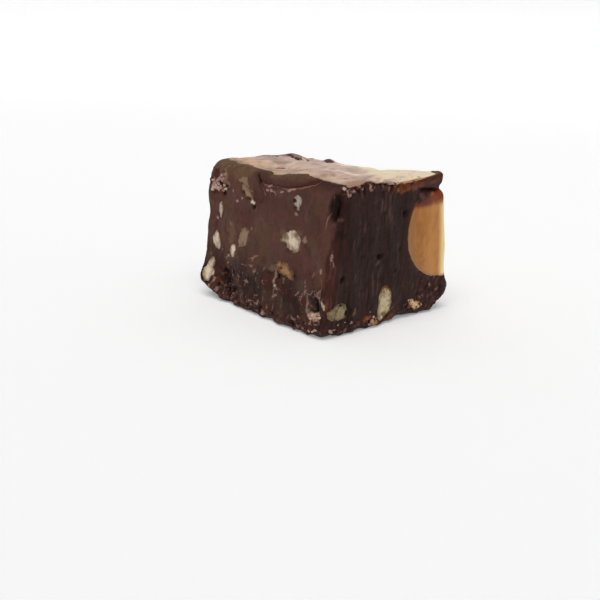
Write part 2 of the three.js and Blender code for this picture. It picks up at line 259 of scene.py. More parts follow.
@dataclass(frozen=True)
class Square:
    """The cut square's own form, which every other piece lies in or on."""

    width: float = 34.5
    depth: float = 41.2
    height: float = 31.0
    slant_left: float = 3.7
    slant_right: float = 4.3
    edge: float = 0.9
    sag: Numbers = (1.6, -6, 20, -18, 16)
    crumble_up_to: float = 8
    crumble: float = 0.7
    crumble_waves: tuple[Numbers, ...] = ((0.8, 0.9, 0, 0.45), (1.7, -1.3, 0, 0.3))
    chip_up_to: float = 9
    seat: float = 0.25

    top: Relief = Relief(
        waves=((0.21, 0.13, 0.6, 0.38), (0.19, -0.33, 1.9, 0.27), (0.52, 0.41, 0, 0.17)),
        mounds=(
            (15.5, -20.2, 4.5, 2.8, 0.8),
            (7, 18.4, 4, 2.2, 1.8),
            (9.4, 8.8, 2.0, 1.5, 1.1),
            (-5.5, 20, 5, 7, -0.6),
            (15, 1, 7, 5, 0.45),
            (16, -11.5, 6, 5, -0.75),
            (-8, 4, 4, 3, -0.4),
            (-3.9, -9.6, 3, 2.4, -0.4),
        ),
    )
    left: Relief = Relief(
        waves=((0.55, 0.4, 0, 0.18), (-0.3, 0.9, 0, 0.14)),
        mounds=(
            (19, 27, 8, 4.5, 1.1),
            (19, 10, 8, 5.5, -0.65),
            (11.2, 4.2, 3.4, 2.6, -1.6),
            (19, 4, 5, 3.5, 1.2),
            (-13.6, 25, 1.2, 5, 0.5),
        ),
    )
    front: Relief = Relief(
        waves=((1.1, 0.1, 0, 0.1), (0.3, 0.35, 2, 0.12)),
        mounds=(
            (11.5, 28.4, 4, 0.9, -0.5),
            (16.5, 27.4, 3, 0.9, -0.9),
            (14, 30.2, 4.5, 1.4, 0.4),
            (-15.6, 24, 1.7, 5, -1.1),
            (1, 2, 3, 1.4, -0.5),
        ),
    )
    right: Relief = Relief(
        waves=((0.34, 0.5, 1.2, 0.2), (1.2, 0, 0, 0.1)),
        mounds=((-20, 27.3, 5, 0.9, -0.9), (-19, 15, 8, 14, 0.45), (-19, 4.6, 8, 4, 1.6)),
    )
    back: Relief = Relief(
        waves=((0.4, -0.31, 0, 0.22), (0.9, 0, 0.5, 0.14)),
        mounds=((7, 3.4, 3.4, 3, -0.7),),
    )
    # Softer places of the edge: x, y, z, reach along each, added radius
    soft_edges: tuple[Numbers, ...] = (
        (-17, -4, 31, 7, 12, 7, 2.0),
        (-17, 20, 31, 5, 5, 5, 0.7),
        (-17, -20, 19, 5, 6, 26, 1.2),
        (18, -20, 0, 6, 6, 6, 0.8),
    )
    # Broken crumbs under the edge of the base: x, y, reach, reach, height
    chips: tuple[Numbers, ...] = (
        (-19, 21, 10, 10, 2.4),
        (-19, -21, 6, 6, 0.4),
        (5.6, -21.5, 5, 4, 2.3),
        (20.5, -21.5, 7, 7, 2.2),
        (19, 21, 7, 7, 0.9),
        (20, 2, 5, 8, 0.7),
        (-3, 21, 9, 5, 0.8),
    )

    def top_level(self, x: Array, y: Array) -> Array:
        """Level of the top over its mean: its relief less the sag of the far corner."""
        drop, from_x, over_x, from_y, over_y = self.sag
        return self.top.at(x, y) - drop * smooth((x - from_x) / over_x) * smooth((y - from_y) / over_y)

    def lean(self, x: Array, z: Array) -> Array:
        """How far the side cuts lean out at a height, by the share of the half width that x is."""
        slant = np.where(x < 0, -self.slant_left, self.slant_right)
        return slant * (np.abs(x) / (self.width / 2)) * (0.5 - z / self.height)

    def edge_radius(self, box: Array) -> Array:
        """Radius of the edge near each point: the knife's, a few soft places and the crumbly foot."""
        crumbled = self.crumble + wave_sum(self.crumble_waves, box[..., 0], box[..., 1])
        radius = self.edge + smooth(1 - box[..., 2] / self.crumble_up_to) * crumbled
        for x, y, z, rx, ry, rz, add in self.soft_edges:
            radius = radius + add * bell(box, (x, y, z), (rx, ry, rz))
        return radius

    def chipped(self, x: Array, y: Array, z: Array) -> Array:
        """How far the underside is chipped up near the edge of the base."""
        up = np.zeros(np.broadcast(x, y, z).shape)
        for cx, cy, rx, ry, height in self.chips:
            up = up + height * smooth(1 - np.hypot((x - cx) / rx, (y - cy) / ry))
        return up * smooth(1 - z / self.chip_up_to)

    def surface(self, box: Array) -> tuple[Array, Array]:
        """The cut square's surface for points of a plain box.

        A ball of the edge's radius is rolled round a smaller box, the sides lean, and each face
        is pushed along its outward direction by its relief. What is under the seat is pressed flat.

        Args:
            box: points of the plain box, in millimetres.
        Returns:
            The points of the surface, and the outward direction at each.
        """
        half = np.array([self.width, self.depth, self.height]) / 2
        radius = self.edge_radius(box)[..., None]
        at = box - np.array([0, 0, half[2]])
        core = np.clip(at, radius - half, half - radius)
        away = at - core
        out = away / np.linalg.norm(away, axis=-1, keepdims=True)
        ball = core + radius * out
        z = ball[..., 2] + half[2]
        x = ball[..., 0] + self.lean(ball[..., 0], z)
        y = ball[..., 1]
        push = (
            np.maximum(-out[..., 0], 0) ** 2 * self.left.at(y, z)
            + np.maximum(out[..., 0], 0) ** 2 * self.right.at(y, z)
            + np.maximum(-out[..., 1], 0) ** 2 * self.front.at(x, z)
            + np.maximum(out[..., 1], 0) ** 2 * self.back.at(x, z)
        )
        level = self.top_level(x, y) * smooth(2 * z / self.height - 1) + self.chipped(x, y, z)
        lifted = z + level
        lifted = lifted * smooth(lifted / self.seat)
        return np.stack([x + out[..., 0] * push, y + out[..., 1] * push, lifted], axis=-1), out

    def perimeter(self, columns: int) -> Array:
        """Points round the plain box, anticlockwise from its -X, -Y corner and closer at corners.

        Args:
            columns: how many points, shared out by length.
        Returns:
            One x and y for each.
        """
        along_x = round(columns * self.width / (self.width + self.depth) / 2)
        along_y = columns // 2 - along_x
        x = crowd(np.arange(along_x) / along_x) * self.width - self.width / 2
        y = crowd(np.arange(along_y) / along_y) * self.depth - self.depth / 2
        sides = [(x, np.full_like(x, y[0])), (np.full_like(y, -x[0]), y)]
        first = np.concatenate([np.stack(side, axis=-1) for side in sides])
        return np.concatenate([first, -first])

    def rings(self, share: Array, level: Array, columns: int) -> Array:
        """Rings of the plain box, each its share of the way out and at its level over the base."""
        flat = share[:, None, None] * self.perimeter(columns)
        rise = np.broadcast_to(level[:, None, None], (*flat.shape[:2], 1))
        return np.concatenate([flat, rise], axis=-1)

    def on_cut(self, cut: Cut, along: Array, height: Array) -> tuple[Array, Array]:
        """The surface and outward direction at a place along a side cut and a height."""
        axis, sign = cut.value
        face = np.full_like(along, sign * (self.width, self.depth)[axis] / 2)
        flat = (face, along) if axis == 0 else (along, face)
        return self.surface(np.stack([*flat, height], axis=-1))


def crowd(share: Array, amount: float = 0.35) -> Array:
    """Moves shares from 0 to 1 closer to both ends, by minus amount * sin(2 pi share) / (2 pi)."""
    return share - amount * np.sin(2 * np.pi * share) / (2 * np.pi)


SQUARE = Square()


@dataclass(frozen=True)
class Oval:
    """An oval on a flat face: its middle, its two half lengths and its turn in degrees."""

    u: float
    v: float
    long: float
    wide: float
    turn: float = 0

    def span(self, u: Array, v: Array) -> Array:
        """Distance from the middle as a share of the oval's own reach that way, so 1 on its rim."""
        turn = math.radians(self.turn)
        du = (u - self.u) * math.cos(turn) + (v - self.v) * math.sin(turn)
        dv = (v - self.v) * math.cos(turn) - (u - self.u) * math.sin(turn)
        return np.hypot(du / self.long, dv / self.wide)


@dataclass(frozen=True)
class Cover:
    """Where the caramel skin lies: over the top up to the chocolate pressed over its edges.

    Fudge was dragged up over the skin on the smeared sides. On the clean sides the skin shows
    its cut edge, and round each lump it ends at the lump's oval. A lap is how far the fudge laps
    over it and by how much that wavers. The bay is its middle, reach and depth.
    """

    edge_x: float = -15.4
    lap_left: Numbers = (1.9, 0.8)
    lap_back: Numbers = (1.2, 0.8)
    bay: Numbers = (0.8, 3.2, 0.7)
    thick: float = 0.4
    uneven: float = 0.3
    blend: float = 0.5
    waver: Pattern = Pattern(11, 2.6, 3)
    broken: Pattern = Pattern(12, 1.1, 3)
    lumps: tuple[Oval, ...] = (
        Oval(17.0, -20.6, 3.5, 2.7),
        Oval(5.2, 18.9, 5.8, 2.2, -6),
        Oval(9.4, 8.8, 2.2, 1.5, 40),
    )

    def inside(self, points: Array) -> Array:
        """How far in millimetres each point is inside the skin's border, under 0 outside."""
        x, y, z = np.moveaxis(points, -1, 0)
        waver = self.waver.at(points)
        bay_y, bay_reach, bay_depth = self.bay
        past_left = x - self.edge_x - self.lap_left[0] - self.lap_left[1] * waver
        past_left = past_left + bay_depth * band(y, bay_y, bay_reach)
        past_back = SQUARE.depth / 2 - y - self.lap_back[0] - self.lap_back[1] * waver
        above = z - SQUARE.height - SQUARE.top_level(x, y) + self.thick + self.uneven * waver
        inside = np.minimum(np.minimum(past_left, past_back), above)
        ragged = 0.5 * waver + 0.8 * self.broken.at(points)
        for lump in self.lumps:
            past_lump = (lump.span(x, y) - 1) * min(lump.long, lump.wide) + ragged
            inside = np.minimum(inside, past_lump)
        return inside

    def share(self, points: Array) -> Array:
        """1 where the skin covers the fudge, 0 where the fudge is bare, blended over a short way."""
        return smooth(self.inside(points) / self.blend + 0.5)


COVER = Cover()


@dataclass(frozen=True)
class PoolShape:
    """The caramel pool's outline, unrolled round the upright edge between the front and right cuts.

    Its first coordinate is 0 on that edge, minus the way along the front cut and plus the way
    along the right cut. Its second is the height.
    """

    middle_x: float = 17.2
    middle_z: float = 17.4
    wide: float = 12.9
    tall: float = 10.1
    above: float = 3.6
    below: float = 1.8
    tip: float = 3.5
    overrun: float = 9
    narrowing: float = 0.25
    bluntness: float = 0.55
    roof: float = 28.0
    waves: tuple[Numbers, ...] = ((3, 7, 0, 0.08), (5, -5, 1, 0.07))
    centre: tuple[float, float] = (2.0, 17.4)
    furthest: float = 26
    halvings: int = 30
    corner_round: float = 1.2

    def edge_x(self, z: Array) -> Array:
        """Where the right cut stands at a height."""
        return SQUARE.width / 2 + SQUARE.lean(np.full_like(z, SQUARE.width / 2), z)

    def inside(self, s: Array, z: Array) -> Array:
        """Over 0 inside the outline and under 0 outside.

        On the front cut it is an oval of the two radii whose upper half is squarer: 1 less the
        power mean of its two shares. On the right cut its half height narrows inward, and at the
        tip it closes as the end of a blunt ball, with waves along it.
        """
        inward = smooth(s / (self.tip + SQUARE.depth / 2))
        dz = z - self.middle_z
        near = -SQUARE.depth / 2 - self.overrun
        half = (self.tip - near) / 2
        along = (np.maximum(s, 0) - SQUARE.depth / 2 - near - half) / half
        full = np.sqrt(np.maximum(1 - along**2, 1e-6)) ** self.bluntness
        full = full * (1 + inward * wave_sum(self.waves, np.sign(dz) * np.pi / 2, inward))
        dx = np.where(s < 0, self.edge_x(z) + s - self.middle_x, 0)
        power = np.where(dz > 0, self.above, self.below)
        tall = self.tall * (1 - self.narrowing * inward) * full
        shares = np.abs(dx / (self.wide * full)) ** power + np.abs(dz / tall) ** power
        return np.where(along < 1, 1 - shares ** (1 / power), -1.0)

    def reach(self, turns: Array) -> Array:
        """How far the outline is from the centre in each direction, found by halving."""
        low = np.zeros_like(turns)
        high = np.full_like(turns, self.furthest)
        for _ in range(self.halvings):
            middle = (low + high) / 2
            s = self.centre[0] + middle * np.cos(turns)
            z = self.centre[1] + middle * np.sin(turns)
            is_in = (self.inside(s, z) > 0) & (z < self.roof)
            low = np.where(is_in, middle, low)
            high = np.where(is_in, high, middle)
        return low

    def box(self, s: Array, z: Array) -> Array:
        """The plain box's point for an unrolled place, the lean taken back out of x."""
        edge = self.edge_x(z)
        x = (edge + np.minimum(s, 0)) * SQUARE.width / 2 / edge
        y = -SQUARE.depth / 2 + np.maximum(s, 0)
        return np.stack([x, y, z], axis=-1)

    def depth_inside(self, points: Array) -> Array:
        """How far in millimetres a point of the surface is inside the outline, under 0 outside."""
        x, y, z = np.moveaxis(points, -1, 0)
        on_front = np.minimum(x - self.edge_x(z), 0)
        s = np.where(y < self.corner_round - SQUARE.depth / 2, on_front, y + SQUARE.depth / 2)
        room = np.minimum(self.inside(s, z) * self.tall, self.roof - z)
        return np.where((x > 0) & (s < self.furthest), room, -self.tall)


POOL = PoolShape()


@dataclass(frozen=True)
class Shell:
    """A closed shell: rings of points from one pole to the other.

    A pole that isn't given is the middle of the ring next to it.
    """

    rings: Array
    start: Array | None = None
    end: Array | None = None

    def points(self) -> Array:
        """The first pole, every ring's points, then the last pole."""
        start = self.rings[0].mean(axis=0) if self.start is None else self.start
        end = self.rings[-1].mean(axis=0) if self.end is None else self.end
        return np.concatenate([[start], self.rings.reshape(-1, 3), [end]])

    def faces(self) -> tuple[Array, Array]:
        """Triangles round both poles and quads between the rings, turned so that they face out.

        The signed volume, a sixth of the sum of a . (b x c) over the triangles, tells which way
        the faces look.
        """
        count, around = self.rings.shape[:2]
        grid = 1 + np.arange(count * around).reshape(count, around)
        beside = np.roll(grid, -1, axis=1)
        quads = quads_between(grid)
        fans = np.concatenate([fan(0, beside[0], grid[0]), fan(grid.size + 1, grid[-1], beside[-1])])
        triangles = np.concatenate([fans, quads[:, [0, 1, 2]], quads[:, [0, 2, 3]]])
        a, b, c = np.moveaxis(self.points()[triangles], 1, 0)
        if np.sum(a * np.cross(b, c)) < 0:
            return fans[:, ::-1], quads[:, ::-1]
        return fans, quads

    def spread(self, values: Array) -> Array:
        """One value for each point from one for each ring point, the poles taking their ring's mean."""
        full = np.broadcast_to(values, self.rings.shape[:2])
        return np.concatenate([[full[0].mean()], full.ravel(), [full[-1].mean()]])

    def piece(self, name: str, tints: dict[str, Array]) -> bpy.types.Object:
        """The shell as a mesh object, with its tints given for each ring point."""
        spread = {tint: self.spread(values) for tint, values in tints.items()}
        return make_piece(name, self.points(), list(self.faces()), spread)


def quads_between(grid: Array) -> Array:
    """Quads between the rows of a grid of point numbers whose last column meets its first."""
    beside = np.roll(grid, -1, axis=1)
    return np.stack([grid[:-1], beside[:-1], beside[1:], grid[1:]], axis=-1).reshape(-1, 4)


def fan(pole: int, ring: Array, beside: Array) -> Array:
    """Triangles from a pole to each point of a ring and the point beside it."""
    return np.stack([np.full_like(ring, pole), ring, beside], axis=-1)


def make_piece(name: str, points: Array, faces: list[Array], tints: dict[str, Array]) -> bpy.types.Object:
    """Makes a smooth shaded mesh object at the origin.

    Args:
        name: the piece's name.
        points: its points in millimetres.
        faces: arrays of point numbers, one row for each face.
        tints: named values for each point, which the finishes read.
    Returns:
        The object, linked to the scene.
    """
    mesh = bpy.data.meshes.new(name)
    rows = [row for group in faces for row in group.tolist()]
    mesh.from_pydata((points * MM).tolist(), [], rows)
    mesh.polygons.foreach_set("use_smooth", np.ones(len(rows), bool))
    for tint, values in tints.items():
        layer = mesh.attributes.new(tint, "FLOAT", "POINT")
        layer.data.foreach_set("value", np.asarray(values, np.float32))
    mesh.update()
    piece = bpy.data.objects.new(name, mesh)
    bpy.context.scene.collection.objects.link(piece)
    LOG.info("%s: %d points, %d faces", name, len(points), len(rows))
    return piece


def hand_over(piece: bpy.types.Object, material: bpy.types.Material, slot: Slot, *nodes: str) -> None:
    """Gives a piece its material and the body that it rides on, and hides the nodes that it stands for."""
    piece.data.materials.append(material)
    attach(piece, "root")
    if nodes:
        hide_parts(*nodes)


class Recipe:
    """A material being mixed: its node tree, with short ways to add what the finishes use."""

    def __init__(self, name: str) -> None:
        """Starts with the usual shader and output, and reads Object coordinates."""
        self.material = bpy.data.materials.new(name)
        self.material.use_nodes = True
        self.nodes = self.material.node_tree.nodes
        self.links = self.material.node_tree.links
        self.shader = self.nodes["Principled BSDF"]
        self.place = self.nodes.new("ShaderNodeTexCoord").outputs["Object"]

    def set(self, **values: float | Numbers) -> None:
        """Sets the shader's own sockets, with underscores for the spaces in their names."""
        for name, value in values.items():
            self.shader.inputs[name.replace("_", " ")].default_value = value

    def feed(self, name: str, source: Socket) -> None:
        """Links a socket of the shader."""
        self.links.new(source, self.shader.inputs[name])

    def plug(self, node: bpy.types.Node, inputs: dict[int | str, object]) -> None:
        """Links or sets a node's inputs, by number or by name."""
        for key, value in inputs.items():
            if isinstance(value, bpy.types.NodeSocket):
                self.links.new(value, node.inputs[key])
            else:
                node.inputs[key].default_value = value

    def tint(self, name: str) -> Socket:
        """A named value of the mesh."""
        node = self.nodes.new("ShaderNodeAttribute")
        node.attribute_name = name
        return node.outputs["Fac"]

    def noise(
        self,
        grain: float,
        detail: float = 3,
        roughness: float = 0.55,
        stretch: Numbers = (1, 1, 1),
        swirl: float = 0,
    ) -> Socket:
        """Noise on Object coordinates.

        Args:
            grain: size of its largest patches in millimetres.
            detail: how many finer layers it has.
            roughness: how strong the finer layers are.
            stretch: how many times longer the patches are along each axis.
            swirl: how far the patches are drawn out into swirls.
        Returns:
            The noise, about 0.5 on average.
        """
        mapping = self.nodes.new("ShaderNodeMapping")
        shrink = tuple(1 / part for part in stretch)
        self.plug(mapping, {"Vector": self.place, "Scale": shrink})
        node = self.nodes.new("ShaderNodeTexNoise")
        inputs = {"Vector": mapping.outputs[0], "Scale": 1 / (grain * MM), "Detail": detail}
        self.plug(node, inputs | {"Roughness": roughness, "Distortion": swirl})
        return node.outputs["Fac"]

    def pick(self, value: Socket, low: float, high: float, to: tuple[float, float] = (0, 1)) -> Socket:
        """Runs smoothly from to[0] at low to to[1] at high."""
        node = self.nodes.new("ShaderNodeMapRange")
        node.interpolation_type = "SMOOTHSTEP"
        self.plug(node, {"Value": value, "From Min": low, "From Max": high})
        self.plug(node, {"To Min": to[0], "To Max": to[1]})
        return node.outputs[0]

    def maths(self, operation: str, first: Socket | float, second: Socket | float) -> Socket:
        """A sum, product or like of two values."""
        node = self.nodes.new("ShaderNodeMath")
        node.operation = operation
        self.plug(node, {0: first, 1: second})
        return node.outputs[0]

    def ragged(self, share: Socket, fine: Socket, amount: float = 0.7) -> Socket:
        """A share from 0 to 1 with its border broken up by noise, and nothing where it is 0."""
        broken = self.maths("MULTIPLY_ADD", fine, amount)
        self.plug(broken.node, {2: self.maths("SUBTRACT", share, amount / 2)})
        return self.pick(broken, 0.3, 0.85)

    def mix(self, share: Socket, first: Socket | Numbers, second: Socket | Numbers) -> Socket:
        """The first colour where the share is 0, the second where it is 1."""
        node = self.nodes.new("ShaderNodeMix")
        node.data_type = "RGBA"
        self.plug(node, {0: share, 6: first, 7: second})
        return node.outputs[2]

    def bump(self, *heights: tuple[Socket, float]) -> None:
        """Fine relief from several height patterns, each with its full depth in millimetres."""
        normal = None
        for height, depth in heights:
            node = self.nodes.new("ShaderNodeBump")
            self.plug(node, {"Height": height, "Strength": 1.0, "Distance": depth * MM})
            if normal is not None:
                self.links.new(normal, node.inputs["Normal"])
            normal = node.outputs[0]
        self.feed("Normal", normal)


@dataclass(frozen=True)
class ChocolateFinish:
    """Dark fudge: a nearly matt cut face, a lighter waxy smear, and what lies on them."""

    dark: Numbers = srgb(40, 22, 18)
    brown: Numbers = srgb(54, 31, 26)
    smear_red: Numbers = srgb(88, 54, 47)
    smear_olive: Numbers = srgb(82, 55, 44)

    def body(self, mix: Recipe) -> Socket:
        """The clean cut's upright streaks, and over them the film that the knife smeared."""
        cloud = mix.noise(4.5, 4, 0.6, (1, 1, 1.3))
        streak = mix.noise(0.6, 4, 0.6, (1, 1, 12))
        thin = mix.noise(1.5, 6, 0.7, (1, 1, 2.0), 0.6)
        clean = mix.mix(mix.pick(streak, 0.4, 0.66), self.dark, self.brown)
        film = mix.mix(mix.pick(cloud, 0.42, 0.6), self.smear_red, self.smear_olive)
        film = mix.mix(mix.pick(thin, 0.48, 0.74, (0, 0.55)), film, clean)
        return mix.mix(mix.tint("smear"), clean, film)

    def laid(self, mix: Recipe, colour: Socket) -> Socket:
        """Every tint laid over a colour, the hard ones with borders broken up by noise."""
        fine = mix.noise(0.4, 4, 0.65)
        for tint in Tint:
            share = mix.tint(tint.name.lower())
            if not tint.is_soft:
                share = mix.ragged(share, fine)
            colour = mix.mix(share, colour, tint.value)
        return colour

    def material(self) -> bpy.types.Material:
        """Mixes the body and its tints, with a nearly matt and finely grained face."""
        mix = Recipe("dark_chocolate")
        fine = mix.noise(0.4, 4, 0.65)
        coarse = mix.noise(1.1, 3, 0.6)
        mix.feed("Base Color", self.laid(mix, self.body(mix)))
        mix.feed("Roughness", mix.pick(coarse, 0.3, 0.7, (0.42, 0.6)))
        mix.set(Specular_IOR_Level=0.1)
        mix.bump((fine, 0.08), (coarse, 0.12))
        return mix.material


@dataclass(frozen=True)
class CaramelFinish:
    """Soft caramel: light gets into it, and it is darker and redder where it thins."""

    body: Numbers = srgb(190, 130, 66)
    # Darker mottling, and the painted shade towards the left of the pool
    shade: Numbers = srgb(158, 102, 52)
    burnt: Numbers = srgb(126, 54, 20)
    rim: Numbers = srgb(146, 118, 86)
    # Painted highlight: the upright edge, as if lit from behind
    glow: Numbers = srgb(252, 224, 164)
    dusk: Numbers = srgb(92, 48, 38)

    def material(self) -> bpy.types.Material:
        """Mixes the mottled body, with its painted shade to the left, with its bright edge, a painted
        highlight, its burnt upper part, rim and dusky patch.
        """
        mix = Recipe("soft_caramel")
        drift = mix.noise(1.8, 6, 0.65, (1, 1, 2.2), 0.5)
        fine = mix.noise(0.5, 3, 0.6)
        # The shade tint paints shade towards the left of the pool under the mottling
        mottled = mix.maths("ADD", mix.tint("shade"), mix.pick(drift, 0.34, 0.7, (-0.3, 0.5)))
        colour = mix.mix(mottled, self.body, self.shade)
        # Painted highlight along the upright edge
        colour = mix.mix(mix.tint("glow"), colour, self.glow)
        colour = mix.mix(mix.ragged(mix.tint("burnt"), drift, 0.4), colour, self.burnt)
        colour = mix.mix(mix.tint("rim"), colour, self.rim)
        colour = mix.mix(mix.tint("dusk"), colour, self.dusk)
        mix.feed("Base Color", colour)
        mix.feed("Roughness", mix.pick(fine, 0.3, 0.7, (0.34, 0.5)))
        mix.set(Specular_IOR_Level=0.16, Subsurface_Weight=0.3, Subsurface_Scale=0.0015)
        mix.set(Subsurface_Radius=(1.0, 0.45, 0.18))
        mix.bump((fine, 0.02), (drift, 0.08))
        return mix.material


@dataclass(frozen=True)
class SkinFinish:
    """Caramel skin with a soft gloss, marbled from pinkish tan to cream with thin chocolate swirls."""

    rose: Numbers = srgb(218, 188, 168)
    mauve: Numbers = srgb(186, 156, 144)
    cream: Numbers = srgb(242, 222, 186)
    tan: Numbers = srgb(216, 178, 148)
    amber: Numbers = srgb(170, 112, 66)
    swirl: Numbers = srgb(92, 58, 50)
    border: Numbers = srgb(156, 118, 92)

    def material(self) -> bpy.types.Material:
        """Marbles two pinks, with cream, tan and amber places and swirls of chocolate."""
        mix = Recipe("marbled_caramel_skin")
        marble = mix.noise(4, 6, 0.66, (1.6, 1, 1), 1.2)
        veins = mix.noise(2.4, 6, 0.7, (2.0, 1, 1), 1.6)
        fine = mix.noise(0.5, 4, 0.62)
        colour = mix.mix(mix.pick(marble, 0.38, 0.64), self.rose, self.mauve)
        # Cream also carries a painted reflection across the top
        for name, other in (("cream", self.cream), ("tan", self.tan), ("amber", self.amber)):
            colour = mix.mix(mix.ragged(mix.tint(name), marble, 0.6), colour, other)
        colour = mix.mix(mix.pick(veins, 0.56, 0.72, (0, 0.5)), colour, self.border)
        colour = mix.mix(mix.pick(veins, 0.68, 0.8, (0, 0.7)), colour, self.swirl)
        colour = mix.mix(mix.ragged(mix.tint("border"), fine, 0.6), colour, self.border)
        colour = mix.mix(mix.ragged(mix.tint("swirl"), fine), colour, self.swirl)
        mix.feed("Base Color", colour)
        mix.feed("Roughness", mix.pick(marble, 0.3, 0.7, (0.3, 0.46)))
        mix.set(Specular_IOR_Level=0.3, Subsurface_Weight=0.15, Subsurface_Scale=0.001)
        mix.set(Subsurface_Radius=(1.0, 0.5, 0.25))
        mix.bump((fine, 0.03), (veins, 0.1))
        return mix.material


@dataclass(frozen=True)
class PecanFinish:
    """Cut pecan meat: mottled, with darker fibres, brown skin at some rims and chocolate smears."""

    meat: Numbers
    shade: Numbers
    skin: Numbers = srgb(118, 68, 34)
    veil: Numbers = srgb(116, 88, 68)
    chocolate: ChocolateFinish = ChocolateFinish()

    def material(self, name: str) -> bpy.types.Material:
        """Mixes the meat's grain with the skin and the chocolate that the mesh's values place."""
        mix = Recipe(f"pecan_meat_{name}")
        mottle = mix.noise(0.9, 6, 0.72, (1, 1, 1.3), 0.3)
        fibre = mix.noise(0.35, 4, 0.7, (1, 1, 2.5))
        fine = mix.noise(0.4, 4, 0.65)
        # Painted highlight and shade: each lid is lighter in its core and darker towards its rim
        core = mix.maths("ADD", mix.tint("core"), mix.pick(mottle, 0.3, 0.7, (-0.4, 0.4)))
        colour = mix.mix(mix.pick(core, -0.1, 1.1), self.shade, self.meat)
        colour = mix.mix(mix.pick(fibre, 0.56, 0.74, (0, 0.6)), colour, self.shade)
        colour = mix.mix(mix.ragged(mix.tint("skin"), fine, 0.4), colour, self.skin)
        cover = mix.maths("ADD", mix.tint("chocolate"), mix.pick(fine, 0.3, 0.7, (-0.18, 0.18)))
        colour = mix.mix(mix.pick(cover, 0.1, 0.55, (0, 0.7)), colour, self.veil)
        colour = mix.mix(mix.pick(cover, 0.45, 0.9), colour, self.chocolate.body(mix))
        # Painted shade: the cracks of the rubble are near black
        colour = mix.mix(mix.ragged(mix.tint("crack_shade"), fine), colour, Tint.PIT_SHADE.value)
        mix.feed("Base Color", self.chocolate.laid(mix, colour))
        mix.feed("Roughness", mix.pick(fine, 0.3, 0.7, (0.5, 0.7)))
        mix.set(Specular_IOR_Level=0.2, Subsurface_Weight=0.1, Subsurface_Scale=0.001)
        mix.bump((fibre, 0.08), (mottle, 0.25))
        return mix.material


class Meat(Enum):
    """How a cut nut looks: its meat's colour, the shade between its fibres and towards its rim, where it is
    painted shade, and how much is smeared.
    """

    CREAM = (srgb(226, 206, 182), srgb(134, 110, 88), 0.05)
    PALE = (srgb(186, 172, 156), srgb(112, 94, 80), 0.1)
    PINK = (srgb(208, 174, 154), srgb(112, 76, 62), 0.05)
    OLIVE = (srgb(206, 188, 150), srgb(122, 102, 68), 0.05)
    DULL = (srgb(158, 138, 100), srgb(92, 74, 50), 0.1)
    TAN = (srgb(232, 194, 146), srgb(156, 114, 76), 0.0)
    AMBER = (srgb(168, 122, 76), srgb(84, 56, 38), 0.1)
    SMEARED = (srgb(152, 122, 94), srgb(104, 76, 60), 0.25)

    @property
    def finish(self) -> PecanFinish:
        """The finish of this meat."""
        return PecanFinish(self.value[0], self.value[1])

    @property
    def smeared(self) -> float:
        """How much further than its rim chocolate was dragged over its face."""
        return self.value[2]


